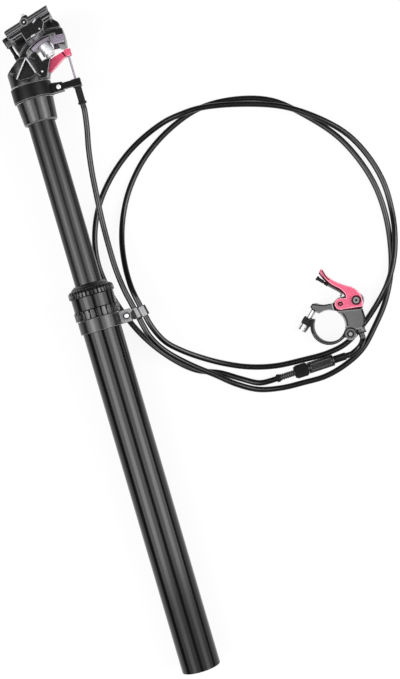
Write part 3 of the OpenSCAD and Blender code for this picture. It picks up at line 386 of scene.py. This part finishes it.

# Rounded edges: copies of nodes that show, with the outer edges rounded by so many millimetres and painted
# paler, a painted highlight
ROUNDING = {
    0.5: ("head", "lower_cradle", "remote_body", "thumb_lever"),
    0.4: ("top_plate", "collar", "clamp_bolt", "clamp_nut", "head_lever"),
    0.3: ("outer_tube", "cable_bracket", "cable_clip", "bar_strap", "adjuster_body", "stop_ferrule",
          "adjuster_tail", "adjuster_ferrule", "foot_plug", "foot_bolt"),
    0.25: ("adjuster_barrel", "strap_screw", "front_screw", "thumb_nut"),
    0.2: ("clamp_washer", "strap_pin"),
}
# Each finish's paler tone, painted on the rounded edges as a painted highlight
EDGE_HIGHLIGHT = {black_alloy: pale_highlight_alloy, satin_alloy: pale_highlight_alloy, band_black: pale_highlight_alloy, black_ring: pale_highlight_ring,
        grey_alloy: pale_highlight_grey, red_alloy: pale_highlight_red, red_painted_lighter: pale_highlight_red}
SHARP = math.radians(28)
FLAT = math.radians(1)
CREASE = math.radians(40)
WELD = 0.002 * MM
NORMAL_WEIGHT = 100
RIB_SIDES = 12
RIDGE_SIDES = 12
PIN_SIDES = 24
bodies = frame["record"]["behaviour"]["bodies"]
body_of = {node: body for body, members in bodies.items() for node in members}
rounded = {}


def piece_of(made, name, body, *materials):
    """The piece that a built mesh makes, riding on a body."""
    for face in made.faces:
        face.smooth = True
    mesh = bpy.data.meshes.new(name)
    made.to_mesh(mesh)
    made.free()
    for material in materials:
        mesh.materials.append(material)
    obj = bpy.data.objects.new(name, mesh)
    scene.collection.objects.link(obj)
    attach(obj, body)
    return obj


def round_edges(name, width):
    """A copy of a CAD node with its sharp outer edges rounded and painted paler as a painted highlight,
    which stands for the node.
    """
    made = bmesh.new()
    made.from_mesh(nodes[name].data)
    bmesh.ops.remove_doubles(made, verts=made.verts, dist=WELD)
    bmesh.ops.dissolve_limit(made, angle_limit=FLAT, verts=made.verts, edges=made.edges)
    outer = []
    for edge in made.edges:
        angle = edge.calc_face_angle_signed()
        edge.smooth = angle > -SHARP
        if angle > SHARP:
            outer.append(edge)
    new = bmesh.ops.bevel(made, geom=outer, offset=width * MM, offset_type="OFFSET", segments=2, profile=0.5,
                          clamp_overlap=False, affect="EDGES")
    material = nodes[name].data.materials[0]
    for face in new["faces"]:
        face.material_index = 1
    obj = piece_of(made, f"{name}_rounded", body_of[name], material, EDGE_HIGHLIGHT.get(material, material))
    normals = obj.modifiers.new("normals", "WEIGHTED_NORMAL")
    normals.weight = NORMAL_WEIGHT
    normals.keep_sharp = True
    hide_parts(name)
    rounded[name] = obj


for width, names in ROUNDING.items():
    for name in names:
        round_edges(name, width)

# The clip's ears and cable guides are pale grey, partly their own tone and partly painted highlight, and
# black between them, which also paints the shade in the gaps
CLIP_EAR = (15.5, 21.3)
GUIDE_HALF = 1.8
clip_mesh = rounded["cable_clip"].data
clip_mesh.materials.append(pale_grey)
for face in clip_mesh.polygons:
    x, s, _ = face.center / MM
    off_guide = min(abs(x - strand_point(k, s)[0]) for k in (0, 1))
    if x > CLIP_EAR[0]:
        pale = off_guide < GUIDE_HALF or x < CLIP_EAR[1] and face.material_index == 0
        face.material_index = 2 if pale else 0


# Details that are turned, swept or cut from plate, each placed by a function from its own frame
def at(place, x, y, z):
    """The point in metres that a frame gives."""
    return Vector(place(x, y, z)) * MM


def lathe(name, place, profile, material, body, ribs=0, sides=48, closed=False, narrow=2):
    """A turned piece. The profile is radius, height and the depth of any ribs' grooves, in millimetres.

    A higher narrow makes narrower grooves. A closed profile joins its end to its start.
    """
    made = bmesh.new()
    sides = ribs * RIB_SIDES if ribs else sides
    loops = []
    for radius, height, *cut in profile:
        loop = []
        for k in range(sides if radius else 1):
            a = 2 * math.pi * k / sides
            groove = cut[0] * max(0, math.cos(a * ribs)) ** narrow if cut else 0
            r = radius - groove
            loop.append(made.verts.new(at(place, r * math.cos(a), r * math.sin(a), height)))
        loops.append(loop)
    for a, b in zip(loops, loops[1:] + loops[:1] if closed else loops[1:]):
        for k in range(sides):
            n = (k + 1) % sides
            if len(a) == 1:
                corners = (a[0], b[n], b[k])
            elif len(b) == 1:
                corners = (a[k], a[n], b[0])
            else:
                corners = (a[k], a[n], b[n], b[k])
            made.faces.new(corners)
    bmesh.ops.recalc_face_normals(made, faces=made.faces)
    obj = piece_of(made, name, body, material)
    obj.data.set_sharp_from_angle(angle=CREASE)
    return obj


def plate(name, place, outline, low, high, edge, material, body):
    """A flat piece with a rounded rim, from its outline, in millimetres."""
    made = bmesh.new()
    face = made.faces.new([made.verts.new((x, y, low)) for x, y in outline])
    top = bmesh.ops.extrude_face_region(made, geom=[face])["geom"]
    for vert in (v for v in top if isinstance(v, bmesh.types.BMVert)):
        vert.co.z = high
    bmesh.ops.bevel(made, geom=list(made.edges), offset=edge, segments=2, profile=0.5, affect="EDGES")
    for vert in made.verts:
        vert.co = at(place, *vert.co)
    bmesh.ops.recalc_face_normals(made, faces=made.faces)
    obj = piece_of(made, name, body, material)
    obj.data.set_sharp_from_angle(angle=CREASE)


def ridge(name, place, route, radius, material, body):
    """A round bar along a route, in millimetres."""
    obj = tube(name, [Vector(place(*p)) for p in route], radius, material, RIDGE_SIDES)
    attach(obj, body)


def button(radius, low, high, edge):
    """The profile of a round solid whose upper corner is cut in and down by edge."""
    return [(0, low), (radius, low), (radius, high - edge[1]), (radius - edge[0], high), (0, high)]


def washer(inner, outer, low, high, edge):
    """The profile of a ring whose upper outer corner is cut in and down by edge."""
    return [(inner, low), (outer, low), (outer, high - edge[1]), (outer - edge[0], high), (inner, high)]


def bead(inner, outer, low, high, edge):
    """The profile of a ring whose two outer corners are cut by edge."""
    return [(inner, low), (outer - edge, low), (outer, low + edge),
            (outer, high - edge), (outer - edge, high), (inner, high)]


def facing(t, s, depth, side):
    """A frame on one side of the post: rear, along the post, and outwards."""
    return lambda x, y, z: lay_point(t + x, side * (depth + z), s + y)


NEAR = -1
FAR = 1
SIDES = (("near", NEAR), ("far", FAR))

# The ribbed lock ring, the domed knurled cap, the wiper's lip and the lock ring's grub screw
LOCK_Z = 253.0
LOCK_TOP = 259.3
LOCK_R = 15.7
LOCK_SEAT_R = 13.35
LOCK_EDGE = 0.4
LOCK_GROOVE = 1.0
LOCK_EDGE_GROOVE = 0.7
LOCK_RIBS = 24
LOCK_NARROW = 6
lock = lathe("lock_ribs", lay_point, [
    (LOCK_SEAT_R, LOCK_Z), (LOCK_R - LOCK_EDGE, LOCK_Z, LOCK_EDGE_GROOVE),
    (LOCK_R, LOCK_Z + LOCK_EDGE, LOCK_GROOVE), (LOCK_R, LOCK_TOP - LOCK_EDGE, LOCK_GROOVE),
    (LOCK_R - LOCK_EDGE, LOCK_TOP, LOCK_EDGE_GROOVE), (LOCK_SEAT_R, LOCK_TOP),
], black_ring, "lower", ribs=LOCK_RIBS, closed=True, narrow=LOCK_NARROW)
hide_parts("lock_ring")
CAP_Z = 268.6
CAP_TOP = 274.2
CAP_R = 16.0
CAP_SEAT_R = 13.4
CAP_FLOOR = CAP_Z + 2.1
CAP_EDGE = 0.3
CAP_GROOVE = 1.0
CAP_RIBS = 36
CAP_DOME_FROM = 271.3
WIPER_R = 11.2
WIPER_FOOT = CAP_Z + 2
SLIDE_R = 9.55
WIPER_LIP = ((13.45, 0), (12.8, 0.9), (11.8, 1.7), (10.7, 2.4), (10.1, 2.6), (9.7, 2.5), (SLIDE_R, 2.2))
quarter = [math.radians(a) for a in range(0, 91, 15)]
cap_dome = [
    (CAP_SEAT_R + (CAP_R - CAP_SEAT_R) * math.cos(a),
     CAP_DOME_FROM + (CAP_TOP - CAP_DOME_FROM) * math.sin(a),
     CAP_GROOVE * math.cos(a))
    for a in quarter]
cap = lathe("cap_dome", lay_point, [
    (CAP_SEAT_R, CAP_Z), (CAP_R - CAP_EDGE, CAP_Z, CAP_GROOVE), (CAP_R, CAP_Z + CAP_EDGE, CAP_GROOVE),
    *cap_dome,
    (WIPER_R, CAP_TOP), (WIPER_R, CAP_FLOOR), (CAP_SEAT_R, CAP_FLOOR),
], black_ring, "lower", ribs=CAP_RIBS, closed=True)
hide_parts("knurled_cap")
wiper = lathe("wiper_lip", lay_point, [
    (SLIDE_R, WIPER_FOOT), (WIPER_R, WIPER_FOOT), (WIPER_R, CAP_TOP),
    *((radius, CAP_TOP + rise) for radius, rise in WIPER_LIP),
], rubber, "lower", closed=True)
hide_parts("dust_wiper")
GRUB_TURN = math.radians(-19.4)
GRUB_R = 15.6
GRUB_S = 257.6
GRUB_PROFILE = ((0, 0.6), (0.8, 0.6), (1, 1.5), (1.5, 1.5), (1.8, 1.1), (1.8, -0.8), (0, -0.8))


def grub_point(x, y, z):
    """A point in the grub screw's frame, whose z leads out of the lock ring."""
    out = GRUB_R + z
    return lay_point(out * math.cos(GRUB_TURN) - x * math.sin(GRUB_TURN),
                     out * math.sin(GRUB_TURN) + x * math.cos(GRUB_TURN), GRUB_S + y)


lathe("ring_grub", grub_point, GRUB_PROFILE, pale_highlight_alloy, "lower")

# Screws with a bright dome in a dark rim, the rim painted shade for the shadow in the gap round the head
SCREW_SHANK_R = 1.5
SCREW_PAST = 0.8
SCREW_HEAD_R = 1.65
SCREW_HEAD_H = 0.9
SCREW_DOME = 0.7
CLIP_SCREW = (18.9, 248.2)
CLIP_FACE = 3.3
BRACKET_SCREW = (18.4, CUP_Z + 19.9)
BRACKET_FACE = 3.6


def domed_screw(node, t, s, face, body):
    """A domed screw through two ears, whose outer faces lie at the given depth."""
    place = facing(t, s, face, NEAR)
    tip = -2 * face - SCREW_PAST
    dome = [(SCREW_HEAD_R * math.cos(a), SCREW_HEAD_H + SCREW_DOME * math.sin(a)) for a in quarter[:-1]]
    bright = lathe(f"{node}_dome", place, [
        (0, tip), (SCREW_SHANK_R, tip), (SCREW_SHANK_R, 0), (SCREW_HEAD_R, 0), *dome,
        (0, SCREW_HEAD_H + SCREW_DOME),
    ], bright_steel, body)
    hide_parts(node)
    # The black rim is painted shade: the shadow of the gap round the screw's head
    rim = washer(inner=1.7, outer=2.4, low=0, high=1.1, edge=(0.2, 0.2))
    lathe(f"{node}_rim", place, rim, black_steel, body, closed=True)
    return place


clip_screw_place = domed_screw("clip_screw", *CLIP_SCREW, CLIP_FACE, "lower")
clip_boss = washer(inner=2.45, outer=3.1, low=-0.1, high=0.6, edge=(0.2, 0.2))
lathe("clip_boss", clip_screw_place, clip_boss, pale_grey, "lower", closed=True)
domed_screw("bracket_screw", *BRACKET_SCREW, BRACKET_FACE, "upper")

# The head's cheeks: ridges round the recess, painted pale as painted highlights, and the ridged pad on its
# hook
DRUM_R = 13.3
RECESS_TOP = (3.0, 43.4)
RECESS_FEET = ((-7.0, 31.5), (6.6, 32.1))
REAR_FOOT = (11.8, 26.8)
HOOK_PAD = ((22.2, 47.6), (31, 46.8), (31.7, 50), (31.7, 52.6), (26.4, 53), (22.4, 51.4))
HOOK_RIDGES = (48.6, 50, 51.3)
HOOK_SPAN = (22.8, 27, 31.2)
HEAD_HALF = 10.0
HOOK_SEAT = HEAD_HALF - 0.2
HOOK_FACE = HEAD_HALF + 0.5
PLATE_EDGE = 0.2
RIDGE_R = 0.5
FINE_RIDGE_R = 0.45
CHEEK_PIN = (11.0, 32.0)
RIM_BEADS = ((13.0, 15.9), (13.5, 26.7))
RIM_PROFILE = ((-0.4, -0.5), (0.1, -0.4), (0.35, 0), (0.1, 0.4), (-0.4, 0.5))
SEAM = ((27.3, 42.2), (28.1, 40.2), (28.9, 38.6))
SEAM_DEPTH = 1.9


def on_drum(a, b, steps=10):
    """Points on the head's round side along a straight line from a to b, as rear, height and depth."""
    line = [tuple(p + (q - p) * k / steps for p, q in zip(a, b)) for k in range(steps + 1)]
    return [(t, h, math.sqrt(DRUM_R**2 - t**2)) for t, h in line]


for side_name, side in SIDES:
    place = facing(0, CUP_Z, 0, side)
    front, rear = RECESS_FEET
    # The ridges are painted pale: painted highlights along the recess's edges and on to the rear foot
    ridge(f"front_ridge_{side_name}", place, on_drum(front, RECESS_TOP), RIDGE_R, ridge_highlight_grey, "upper")
    ridge(f"rear_ridge_{side_name}", place, on_drum(RECESS_TOP, rear), RIDGE_R, ridge_highlight_grey, "upper")
    ridge(f"foot_ridge_{side_name}", place, on_drum(rear, REAR_FOOT), FINE_RIDGE_R, pale_highlight_alloy, "upper")
    plate(f"hook_pad_{side_name}", place, HOOK_PAD, HOOK_SEAT, HOOK_FACE, PLATE_EDGE, mauve_steel, "upper")
    for k, h in enumerate(HOOK_RIDGES):
        line = [(t, h, HOOK_FACE) for t in HOOK_SPAN]
        ridge(f"hook_ridge_{side_name}_{k + 1}", place, line, FINE_RIDGE_R, mauve_steel, "upper")
    pin_place = facing(CHEEK_PIN[0], CUP_Z + CHEEK_PIN[1], HEAD_HALF, side)
    pin = button(radius=0.8, low=-0.5, high=0.5, edge=(0.3, 0.3))
    lathe(f"cheek_pin_{side_name}", pin_place, pin, bright_steel, "upper", sides=PIN_SIDES)
    rim = washer(inner=0.85, outer=1.4, low=-0.3, high=0.3, edge=(0.2, 0.1))
    lathe(f"cheek_rim_{side_name}", pin_place, rim, black_steel, "upper", sides=PIN_SIDES, closed=True)
# Bright metal beads round the head, at the cup's top and above, that stand for the highlights on those
# edges: painted highlights
for k, (radius, h) in enumerate(RIM_BEADS):
    profile = [(radius + out, CUP_Z + h + up) for out, up in RIM_PROFILE]
    lathe(f"rim_bead_{k + 1}", lay_point, profile, plain_alloy, "upper", closed=True)
seam = [(t, h, SEAM_DEPTH) for t, h in SEAM]
ridge("lever_seam", facing(0, CUP_Z, 0, NEAR), seam, FINE_RIDGE_R, dark_red, "head_lever_body")

# The saddle clamp's bosses and studs, and pale bars on its flanks that are painted highlights
CLAMP_TURN = math.radians(16)
RAIL_RISE = 37.6
DOME_MID = (23.5, 26.5)
CLAMP_HALF = {NEAR: 26.8, FAR: 26.2}
RAIL_HALF = 22.0
BOSS_AT = (-3.4, 2.1)
BOSS_PROFILE = ((1.9, -0.9), (1.9, 0.3), (2.1, 0.5), (2.6, 0.5), (2.9, 0.2), (2.9, -0.9))
SOCKET_PROFILE = ((0, 0), (1.6, 0), (1.85, 0.2), (1.85, -0.9), (0, -0.9))
STUD_AT = (-1.6, 4.6)
HIGHLIGHT_BARS = (((1.4, -1.4), (4.4, -0.1)), ((-4.6, -8.6), (-1.4, -8.6)), ((2.7, -6.6), (3.4, -7.4)))
HIGHLIGHT_BAR_R = 0.6
HIGHLIGHT_BAR_OUT = -0.1


def clamp_point(x, y, z):
    """A point in the clamp's frame: along the rails, across, and up from the rails' middle."""
    reach = RAIL_RISE + z
    t = DOME_MID[0] + x * math.cos(CLAMP_TURN) - reach * math.sin(CLAMP_TURN)
    h = DOME_MID[1] + x * math.sin(CLAMP_TURN) + reach * math.cos(CLAMP_TURN)
    return lay_point(t, y, CUP_Z + h)


def beside_clamp(x, z, side):
    """A frame on one side of the clamp: along the rails, up from them, and outwards."""
    return lambda a, b, c: clamp_point(x + a, side * (CLAMP_HALF[side] + c), z + b)


def above_rail(x, z, side):
    """A frame over one rail: along it, across, and up."""
    return lambda a, b, c: clamp_point(x + a, side * RAIL_HALF + b, z + c)


for side_name, side in SIDES:
    # The pale boss and the bright pin in its socket are painted highlights on a bolt's end
    boss_place = beside_clamp(*BOSS_AT, side)
    lathe(f"clamp_boss_{side_name}", boss_place, BOSS_PROFILE, pale_highlight_alloy, "saddle_clamp", closed=True)
    lathe(f"boss_socket_{side_name}", boss_place, SOCKET_PROFILE, black_steel, "saddle_clamp")
    pin = button(radius=0.55, low=-0.3, high=0.4, edge=(0.25, 0.2))
    lathe(f"boss_pin_{side_name}", boss_place, pin, bright_steel, "saddle_clamp", sides=PIN_SIDES)
    stud_place = above_rail(*STUD_AT, side)
    stud = button(radius=1.5, low=-0.3, high=3.6, edge=(0.3, 0.4))
    lathe(f"clamp_stud_{side_name}", stud_place, stud, bright_steel, "saddle_clamp")
    foot = washer(inner=1.55, outer=2.4, low=-0.4, high=1.8, edge=(0.3, 0.3))
    lathe(f"stud_foot_{side_name}", stud_place, foot, black_steel, "saddle_clamp", closed=True)
    # Pale bars on the flank: painted highlights where its facets catch the light
    flank = beside_clamp(0, 0, side)
    for k, (a, b) in enumerate(HIGHLIGHT_BARS):
        middle = tuple((p + q) / 2 for p, q in zip(a, b))
        line = [(*p, HIGHLIGHT_BAR_OUT) for p in (a, middle, b)]
        ridge(f"clamp_highlight_{side_name}_{k + 1}", flank, line, HIGHLIGHT_BAR_R, ridge_highlight_grey, "saddle_clamp")

# The remote's pivot, pinch screw, hinge, cable stop and wire cap
THUMB_PIVOT = (23.1, 12.1)
PINCH = (11.8, 12.6)
HINGE = (12.8, -9.3)
HINGE_R = 4.2
HINGE_TURN = (-10, 201, 14)
REMOTE_W = 11.0
THUMB_Z = 5.6
THUMB_TOP = 10.6
PIVOT_SEAT = 10.9
PIVOT_TOP = 12.3
PIVOT_SHANK_R = 2.5
PIVOT_HEAD_R = 3.3
PIVOT_SIDES = 36
HEXAGON = 6
PINCH_SHANK_R = 1.45
PINCH_HEAD_R = 1.75
STOP_BORE_R = 2.1


def upright(centre):
    """A frame that stands on the remote's lower face, about a centre."""
    return lambda x, y, z: remote_point(centre[0] + x, centre[1] + y, z)


def stop_point(x, y, z):
    """A point in the cable stop's frame, whose z leads along the cable into the remote."""
    return remote_point(STOP[0] + x, STOP[1] + z, STOP[2] + y)


WIRE_CAP_FROM = (7.0, 27.6)
WIRE_CAP_TURN = math.radians(131)
WIRE_CAP_RISE = THUMB_Z + 2.5
WIRE_CAP_PROFILE = ((0, 0), (1, 0), (1.2, 0.2), (1.2, 2.8), (0.8, 3), (0.8, 3.8), (1.2, 4), (1.2, 7.8),
                    (1.65, 8.2), (1.65, 9.2), (1.4, 9.4), (0, 9.4))


def wire_cap_point(x, y, z):
    """A point in the wire cap's frame, whose z leads to the wire's end."""
    return remote_point(WIRE_CAP_FROM[0] + z * math.cos(WIRE_CAP_TURN) - x * math.sin(WIRE_CAP_TURN),
                        WIRE_CAP_FROM[1] + z * math.sin(WIRE_CAP_TURN) + x * math.cos(WIRE_CAP_TURN),
                        WIRE_CAP_RISE + y)


pivot = lathe("pivot_rim", upright(THUMB_PIVOT), [
    (0, 0), (PIVOT_SHANK_R, 0), (PIVOT_SHANK_R, PIVOT_SEAT), (PIVOT_HEAD_R, PIVOT_SEAT),
    (PIVOT_HEAD_R, PIVOT_TOP - 0.3), (PIVOT_HEAD_R - 0.2, PIVOT_TOP), (2.4, PIVOT_TOP),
    (2.2, PIVOT_TOP - 0.6), (0, PIVOT_TOP - 0.6),
], dark_red, "lower")
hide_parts("thumb_bolt")
lathe("pivot_face", upright(THUMB_PIVOT), [
    (0, PIVOT_TOP - 0.7), (2.15, PIVOT_TOP - 0.7), (2.15, PIVOT_TOP - 0.15), (1.1, PIVOT_TOP - 0.15),
    (1, PIVOT_TOP - 0.4), (0, PIVOT_TOP - 0.4),
], grey_steel, "lower", sides=PIVOT_SIDES)
socket = button(radius=0.9, low=PIVOT_TOP - 0.5, high=PIVOT_TOP - 0.25, edge=(0.3, 0.05))
lathe("pivot_socket", upright(THUMB_PIVOT), socket, black_steel, "lower", sides=HEXAGON)
pinch = lathe("pinch_ring", upright(PINCH), [
    (0, THUMB_Z), (PINCH_SHANK_R, THUMB_Z), (PINCH_SHANK_R, THUMB_TOP), (PINCH_HEAD_R, THUMB_TOP),
    (PINCH_HEAD_R, THUMB_TOP + 0.4), (PINCH_HEAD_R - 0.2, THUMB_TOP + 0.6), (0.9, THUMB_TOP + 0.6),
    (0.7, THUMB_TOP + 0.3), (0, THUMB_TOP + 0.3),
], dark_red, "thumb_lever_body")
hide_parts("pinch_screw")
core = button(radius=0.65, low=THUMB_TOP + 0.2, high=THUMB_TOP + 0.7, edge=(0.25, 0.2))
lathe("pinch_core", upright(PINCH), core, red_alloy, "thumb_lever_body")
hinge = washer(inner=1.55, outer=2.5, low=REMOTE_W - 0.2, high=REMOTE_W + 0.4, edge=(0.2, 0.2))
lathe("hinge_ring", upright(HINGE), hinge, black_steel, "lower", closed=True)
arc = [math.radians(a) for a in range(*HINGE_TURN)]
hinge_line = [(HINGE_R * math.cos(a), HINGE_R * math.sin(a), REMOTE_W) for a in arc]
ridge("hinge_rim", upright(HINGE), hinge_line, RIDGE_R, black_plastic, "lower")
# The bright ring is a painted highlight on the stop's end cap, in a black rim
stop_ring = bead(inner=STOP_BORE_R, outer=3.3, low=0.6, high=1.6, edge=0.2)
lathe("stop_ring", stop_point, stop_ring, bright_steel, "lower", closed=True)
stop_rim = bead(inner=STOP_BORE_R, outer=3.7, low=-0.5, high=0.5, edge=0.2)
lathe("stop_rim", stop_point, stop_rim, black_steel, "lower", closed=True)
wire_end = lathe("wire_end_cap", wire_cap_point, WIRE_CAP_PROFILE, black_plastic, "thumb_lever_body",
                 sides=PIN_SIDES)
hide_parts("wire_cap")

# Painted shade on the thumb lever's lower side: a lower copy of it in dark red, set a little aside, that
# stands for its side wall in shadow
SHADE_SHIFT = (-1.0, -1.2)
SHADE_TOP = 8.6
shade_copy = bmesh.new()
shade_copy.from_mesh(nodes["thumb_lever"].data)
base = Vector(remote_point(0, 0, 0)) * MM
along_x = (Vector(remote_point(1, 0, 0)) * MM - base) / MM
along_z = (Vector(remote_point(0, 0, 1)) * MM - base) / MM
for vert in shade_copy.verts:
    height = (vert.co - base).dot(along_z)
    if height > SHADE_TOP * MM:
        vert.co -= along_z * (height - SHADE_TOP * MM)
    vert.co += along_x * SHADE_SHIFT[0] * MM + Vector((0, SHADE_SHIFT[1] * MM, 0))
shade_piece = piece_of(shade_copy, "lever_shade", "thumb_lever_body", dark_red)
shade_piece.data.set_sharp_from_angle(angle=CREASE)

# Lines on the remote's upper face, dark ones that paint the shade along its outlines and pale ones that
# paint highlights, and the thumb pad at the lever's tip
BORE_LINE_R = 13.0
BORE_EDGE_R = BORE_LINE_R - 1.4
STRAP_LINE_R = 12.2
BORE_LINE_TURN = (-14, 27, 4)
BORE_EDGE_TURN = (-20, 38, 4)
STRAP_LINE_TURN = (186, 312, 6)
LINE_R = 0.4
EDGE_LINE_R = 0.55
PAD_LINE_R = 0.35
ARM_LINE = ((5.4, 14.3), (0, 14.9), (-3.8, 16.4), (-6.6, 17.8), (-8.4, 16.5), (-7.8, 14.2), (-6.2, 12.8))
EDGE_LINE_Z = REMOTE_W - 0.2
EDGE_LINE = ((25, 5), (25.1, 0), (23.8, -5.3), (22, -7.2))
PAD_FOOT = THUMB_TOP - 0.4
PAD_TOP = THUMB_TOP + 0.3
PAD = ((3.9, 38.3), (5.5, 39.5), (6.2, 36.8), (7, 33.6), (6, 33.4), (4.6, 35.6))
PAD_LINE = ((6.1, 38.4), (6.6, 36.4), (7.5, 33.4), (9, 30.9))


def face_arc(radius, start, end, step):
    """Points round the handlebar on the remote's upper face, in degrees."""
    turn = [math.radians(a) for a in range(start, end, step)]
    return [(radius * math.cos(a), radius * math.sin(a), REMOTE_W) for a in turn]


def flat_line(points, z):
    """A line's points at one height over the remote's lower face."""
    return [(x, y, z) for x, y in points]


# A dark line of painted shade round the bore's outer side, and inside it a pale line, a painted highlight on
# the bore's rim
ridge("bore_line", remote_point, face_arc(BORE_LINE_R, *BORE_LINE_TURN), LINE_R, black_plastic, "lower")
ridge("bore_edge", remote_point, face_arc(BORE_EDGE_R, *BORE_EDGE_TURN), LINE_R, pale_highlight_grey, "lower")
# Dark lines of painted shade along the arm's outline and the body's right edge
ridge("arm_line", remote_point, flat_line(ARM_LINE, REMOTE_W), FINE_RIDGE_R, black_plastic, "lower")
ridge("edge_line", remote_point, flat_line(EDGE_LINE, EDGE_LINE_Z), EDGE_LINE_R, black_plastic, "lower")
# A pale line on the strap: a painted highlight on its rounding
ridge("strap_line", remote_point, face_arc(STRAP_LINE_R, *STRAP_LINE_TURN), LINE_R, grey_alloy,
      body_of["bar_strap"])
plate("thumb_pad", remote_point, PAD, PAD_FOOT, PAD_TOP, PLATE_EDGE, dull_red, "thumb_lever_body")
ridge("pad_line", remote_point, flat_line(PAD_LINE, THUMB_TOP), PAD_LINE_R, dark_red, "thumb_lever_body")

# Floor: white to the camera and, near the post, to reflections, with a faint shadow
FLOOR_HALF = 6
FLOOR_DROP = 0.05
FLOOR_GLOW = 0.9
PAPER_TONE = 0.86
WHITE_HALF = 0.19
WHITE_FADE = 0.05
floor_mesh = bpy.data.meshes.new("floor")
corners = [(x * FLOOR_HALF, y * FLOOR_HALF, 0) for x, y in ((-1, -1), (1, -1), (1, 1), (-1, 1))]
floor_mesh.from_pydata(corners, [], [(0, 1, 2, 3)])
floor = bpy.data.objects.new("floor", floor_mesh)
scene.collection.objects.link(floor)
floor.location.z = (TABLE_Z - FLOOR_DROP) * MM
paper = bpy.data.materials.new("paper")
paper.use_nodes = True
tree = paper.node_tree
tree.nodes.clear()
output = tree.nodes.new("ShaderNodeOutputMaterial")
diffuse = tree.nodes.new("ShaderNodeBsdfDiffuse")
diffuse.inputs["Color"].default_value = (PAPER_TONE, PAPER_TONE, PAPER_TONE, 1)
glow = tree.nodes.new("ShaderNodeEmission")
mix = tree.nodes.new("ShaderNodeMixShader")
light_path = tree.nodes.new("ShaderNodeLightPath")
geometry = tree.nodes.new("ShaderNodeNewGeometry")
across = tree.nodes.new("ShaderNodeSeparateXYZ")
tree.links.new(geometry.outputs["Position"], across.inputs["Vector"])


def maths(operation, first, second=0.0):
    """The output of a maths node on the paper, between sockets or a socket and a number."""
    node = tree.nodes.new("ShaderNodeMath")
    node.operation = operation
    for socket, value in zip(node.inputs, (first, second)):
        if isinstance(value, float):
            socket.default_value = value
        else:
            tree.links.new(value, socket)
    return node.outputs[0]


away = maths("ABSOLUTE", across.outputs["X"])
lit = spread(tree, away, 1, 0, WHITE_HALF, WHITE_HALF + WHITE_FADE)
reflected = maths("MAXIMUM", light_path.outputs["Is Glossy Ray"], light_path.outputs["Is Transmission Ray"])
seen = maths("MULTIPLY", light_path.outputs["Is Camera Ray"], FLOOR_GLOW)
tree.links.new(maths("MAXIMUM", seen, reflected), mix.inputs["Fac"])
tree.links.new(maths("MAXIMUM", light_path.outputs["Is Camera Ray"], lit), glow.inputs["Strength"])
tree.links.new(diffuse.outputs[0], mix.inputs[1])
tree.links.new(glow.outputs[0], mix.inputs[2])
tree.links.new(mix.outputs[0], output.inputs["Surface"])
floor_mesh.materials.append(paper)

# World: white to the camera, and a faint grey light
SKY_GREY = 0.25
SKY_STRENGTH = 0.1
world = bpy.data.worlds.new("world")
scene.world = world
world.use_nodes = True
sky = world.node_tree
sky.nodes["Background"].inputs["Color"].default_value = (SKY_GREY, SKY_GREY, SKY_GREY, 1)
sky.nodes["Background"].inputs["Strength"].default_value = SKY_STRENGTH
backdrop = sky.nodes.new("ShaderNodeBackground")
backdrop.inputs["Color"].default_value = (1, 1, 1, 1)
sky_mix = sky.nodes.new("ShaderNodeMixShader")
sky_path = sky.nodes.new("ShaderNodeLightPath")
sky.links.new(sky_path.outputs["Is Camera Ray"], sky_mix.inputs["Fac"])
sky.links.new(sky.nodes["Background"].outputs[0], sky_mix.inputs[1])
sky.links.new(backdrop.outputs[0], sky_mix.inputs[2])
sky.links.new(sky_mix.outputs[0], sky.nodes["World Output"].inputs["Surface"])


# Light: on each side of the camera a broad soft box, with a smaller and brighter one before its middle,
# and past the post's foot a dimmer pair. A square metre of lamp needs so many watts to look plain white
WATTS_FOR_WHITE = 4


def soft_box(name, angle, half_angle, distance, reach, brightness):
    """A rectangular lamp at an angle from upright, facing the post over a reach of it."""
    width = 2 * distance * math.tan(math.radians(half_angle))
    length = reach[1] - reach[0]
    lamp = bpy.data.lights.new(name, "AREA")
    lamp.shape = "RECTANGLE"
    lamp.size = width
    lamp.size_y = length
    lamp.energy = brightness * WATTS_FOR_WHITE * width * length
    obj = bpy.data.objects.new(name, lamp)
    scene.collection.objects.link(obj)
    a = math.radians(angle)
    obj.location = (distance * math.sin(a), (reach[0] + reach[1]) / 2, distance * math.cos(a))
    obj.rotation_euler = (0, a, 0)


BOX_ANGLES = (-38.3, 46.8)
BROAD_HALF = 33.8
BROAD_AWAY = 1.5
BROAD_REACH = (-0.28, 0.58)
KEY_HALF = 11
KEY_AWAY = 1.45
KEY_REACH = (-0.22, 0.58)
FOOT_REACH = (-0.80, -0.29)
BROAD_LIGHT = 2.6
KEY_LIGHT = 3.6
BROAD_FOOT_LIGHT = 0.85
KEY_FOOT_LIGHT = 1.5
for hand, angle in zip(("left", "right"), BOX_ANGLES):
    soft_box(f"{hand}_broad_box", angle, BROAD_HALF, BROAD_AWAY, BROAD_REACH, BROAD_LIGHT)
    soft_box(f"{hand}_key_box", angle, KEY_HALF, KEY_AWAY, KEY_REACH, KEY_LIGHT)
    soft_box(f"{hand}_broad_foot_box", angle, BROAD_HALF, BROAD_AWAY, FOOT_REACH, BROAD_FOOT_LIGHT)
    soft_box(f"{hand}_key_foot_box", angle, KEY_HALF, KEY_AWAY, FOOT_REACH, KEY_FOOT_LIGHT)
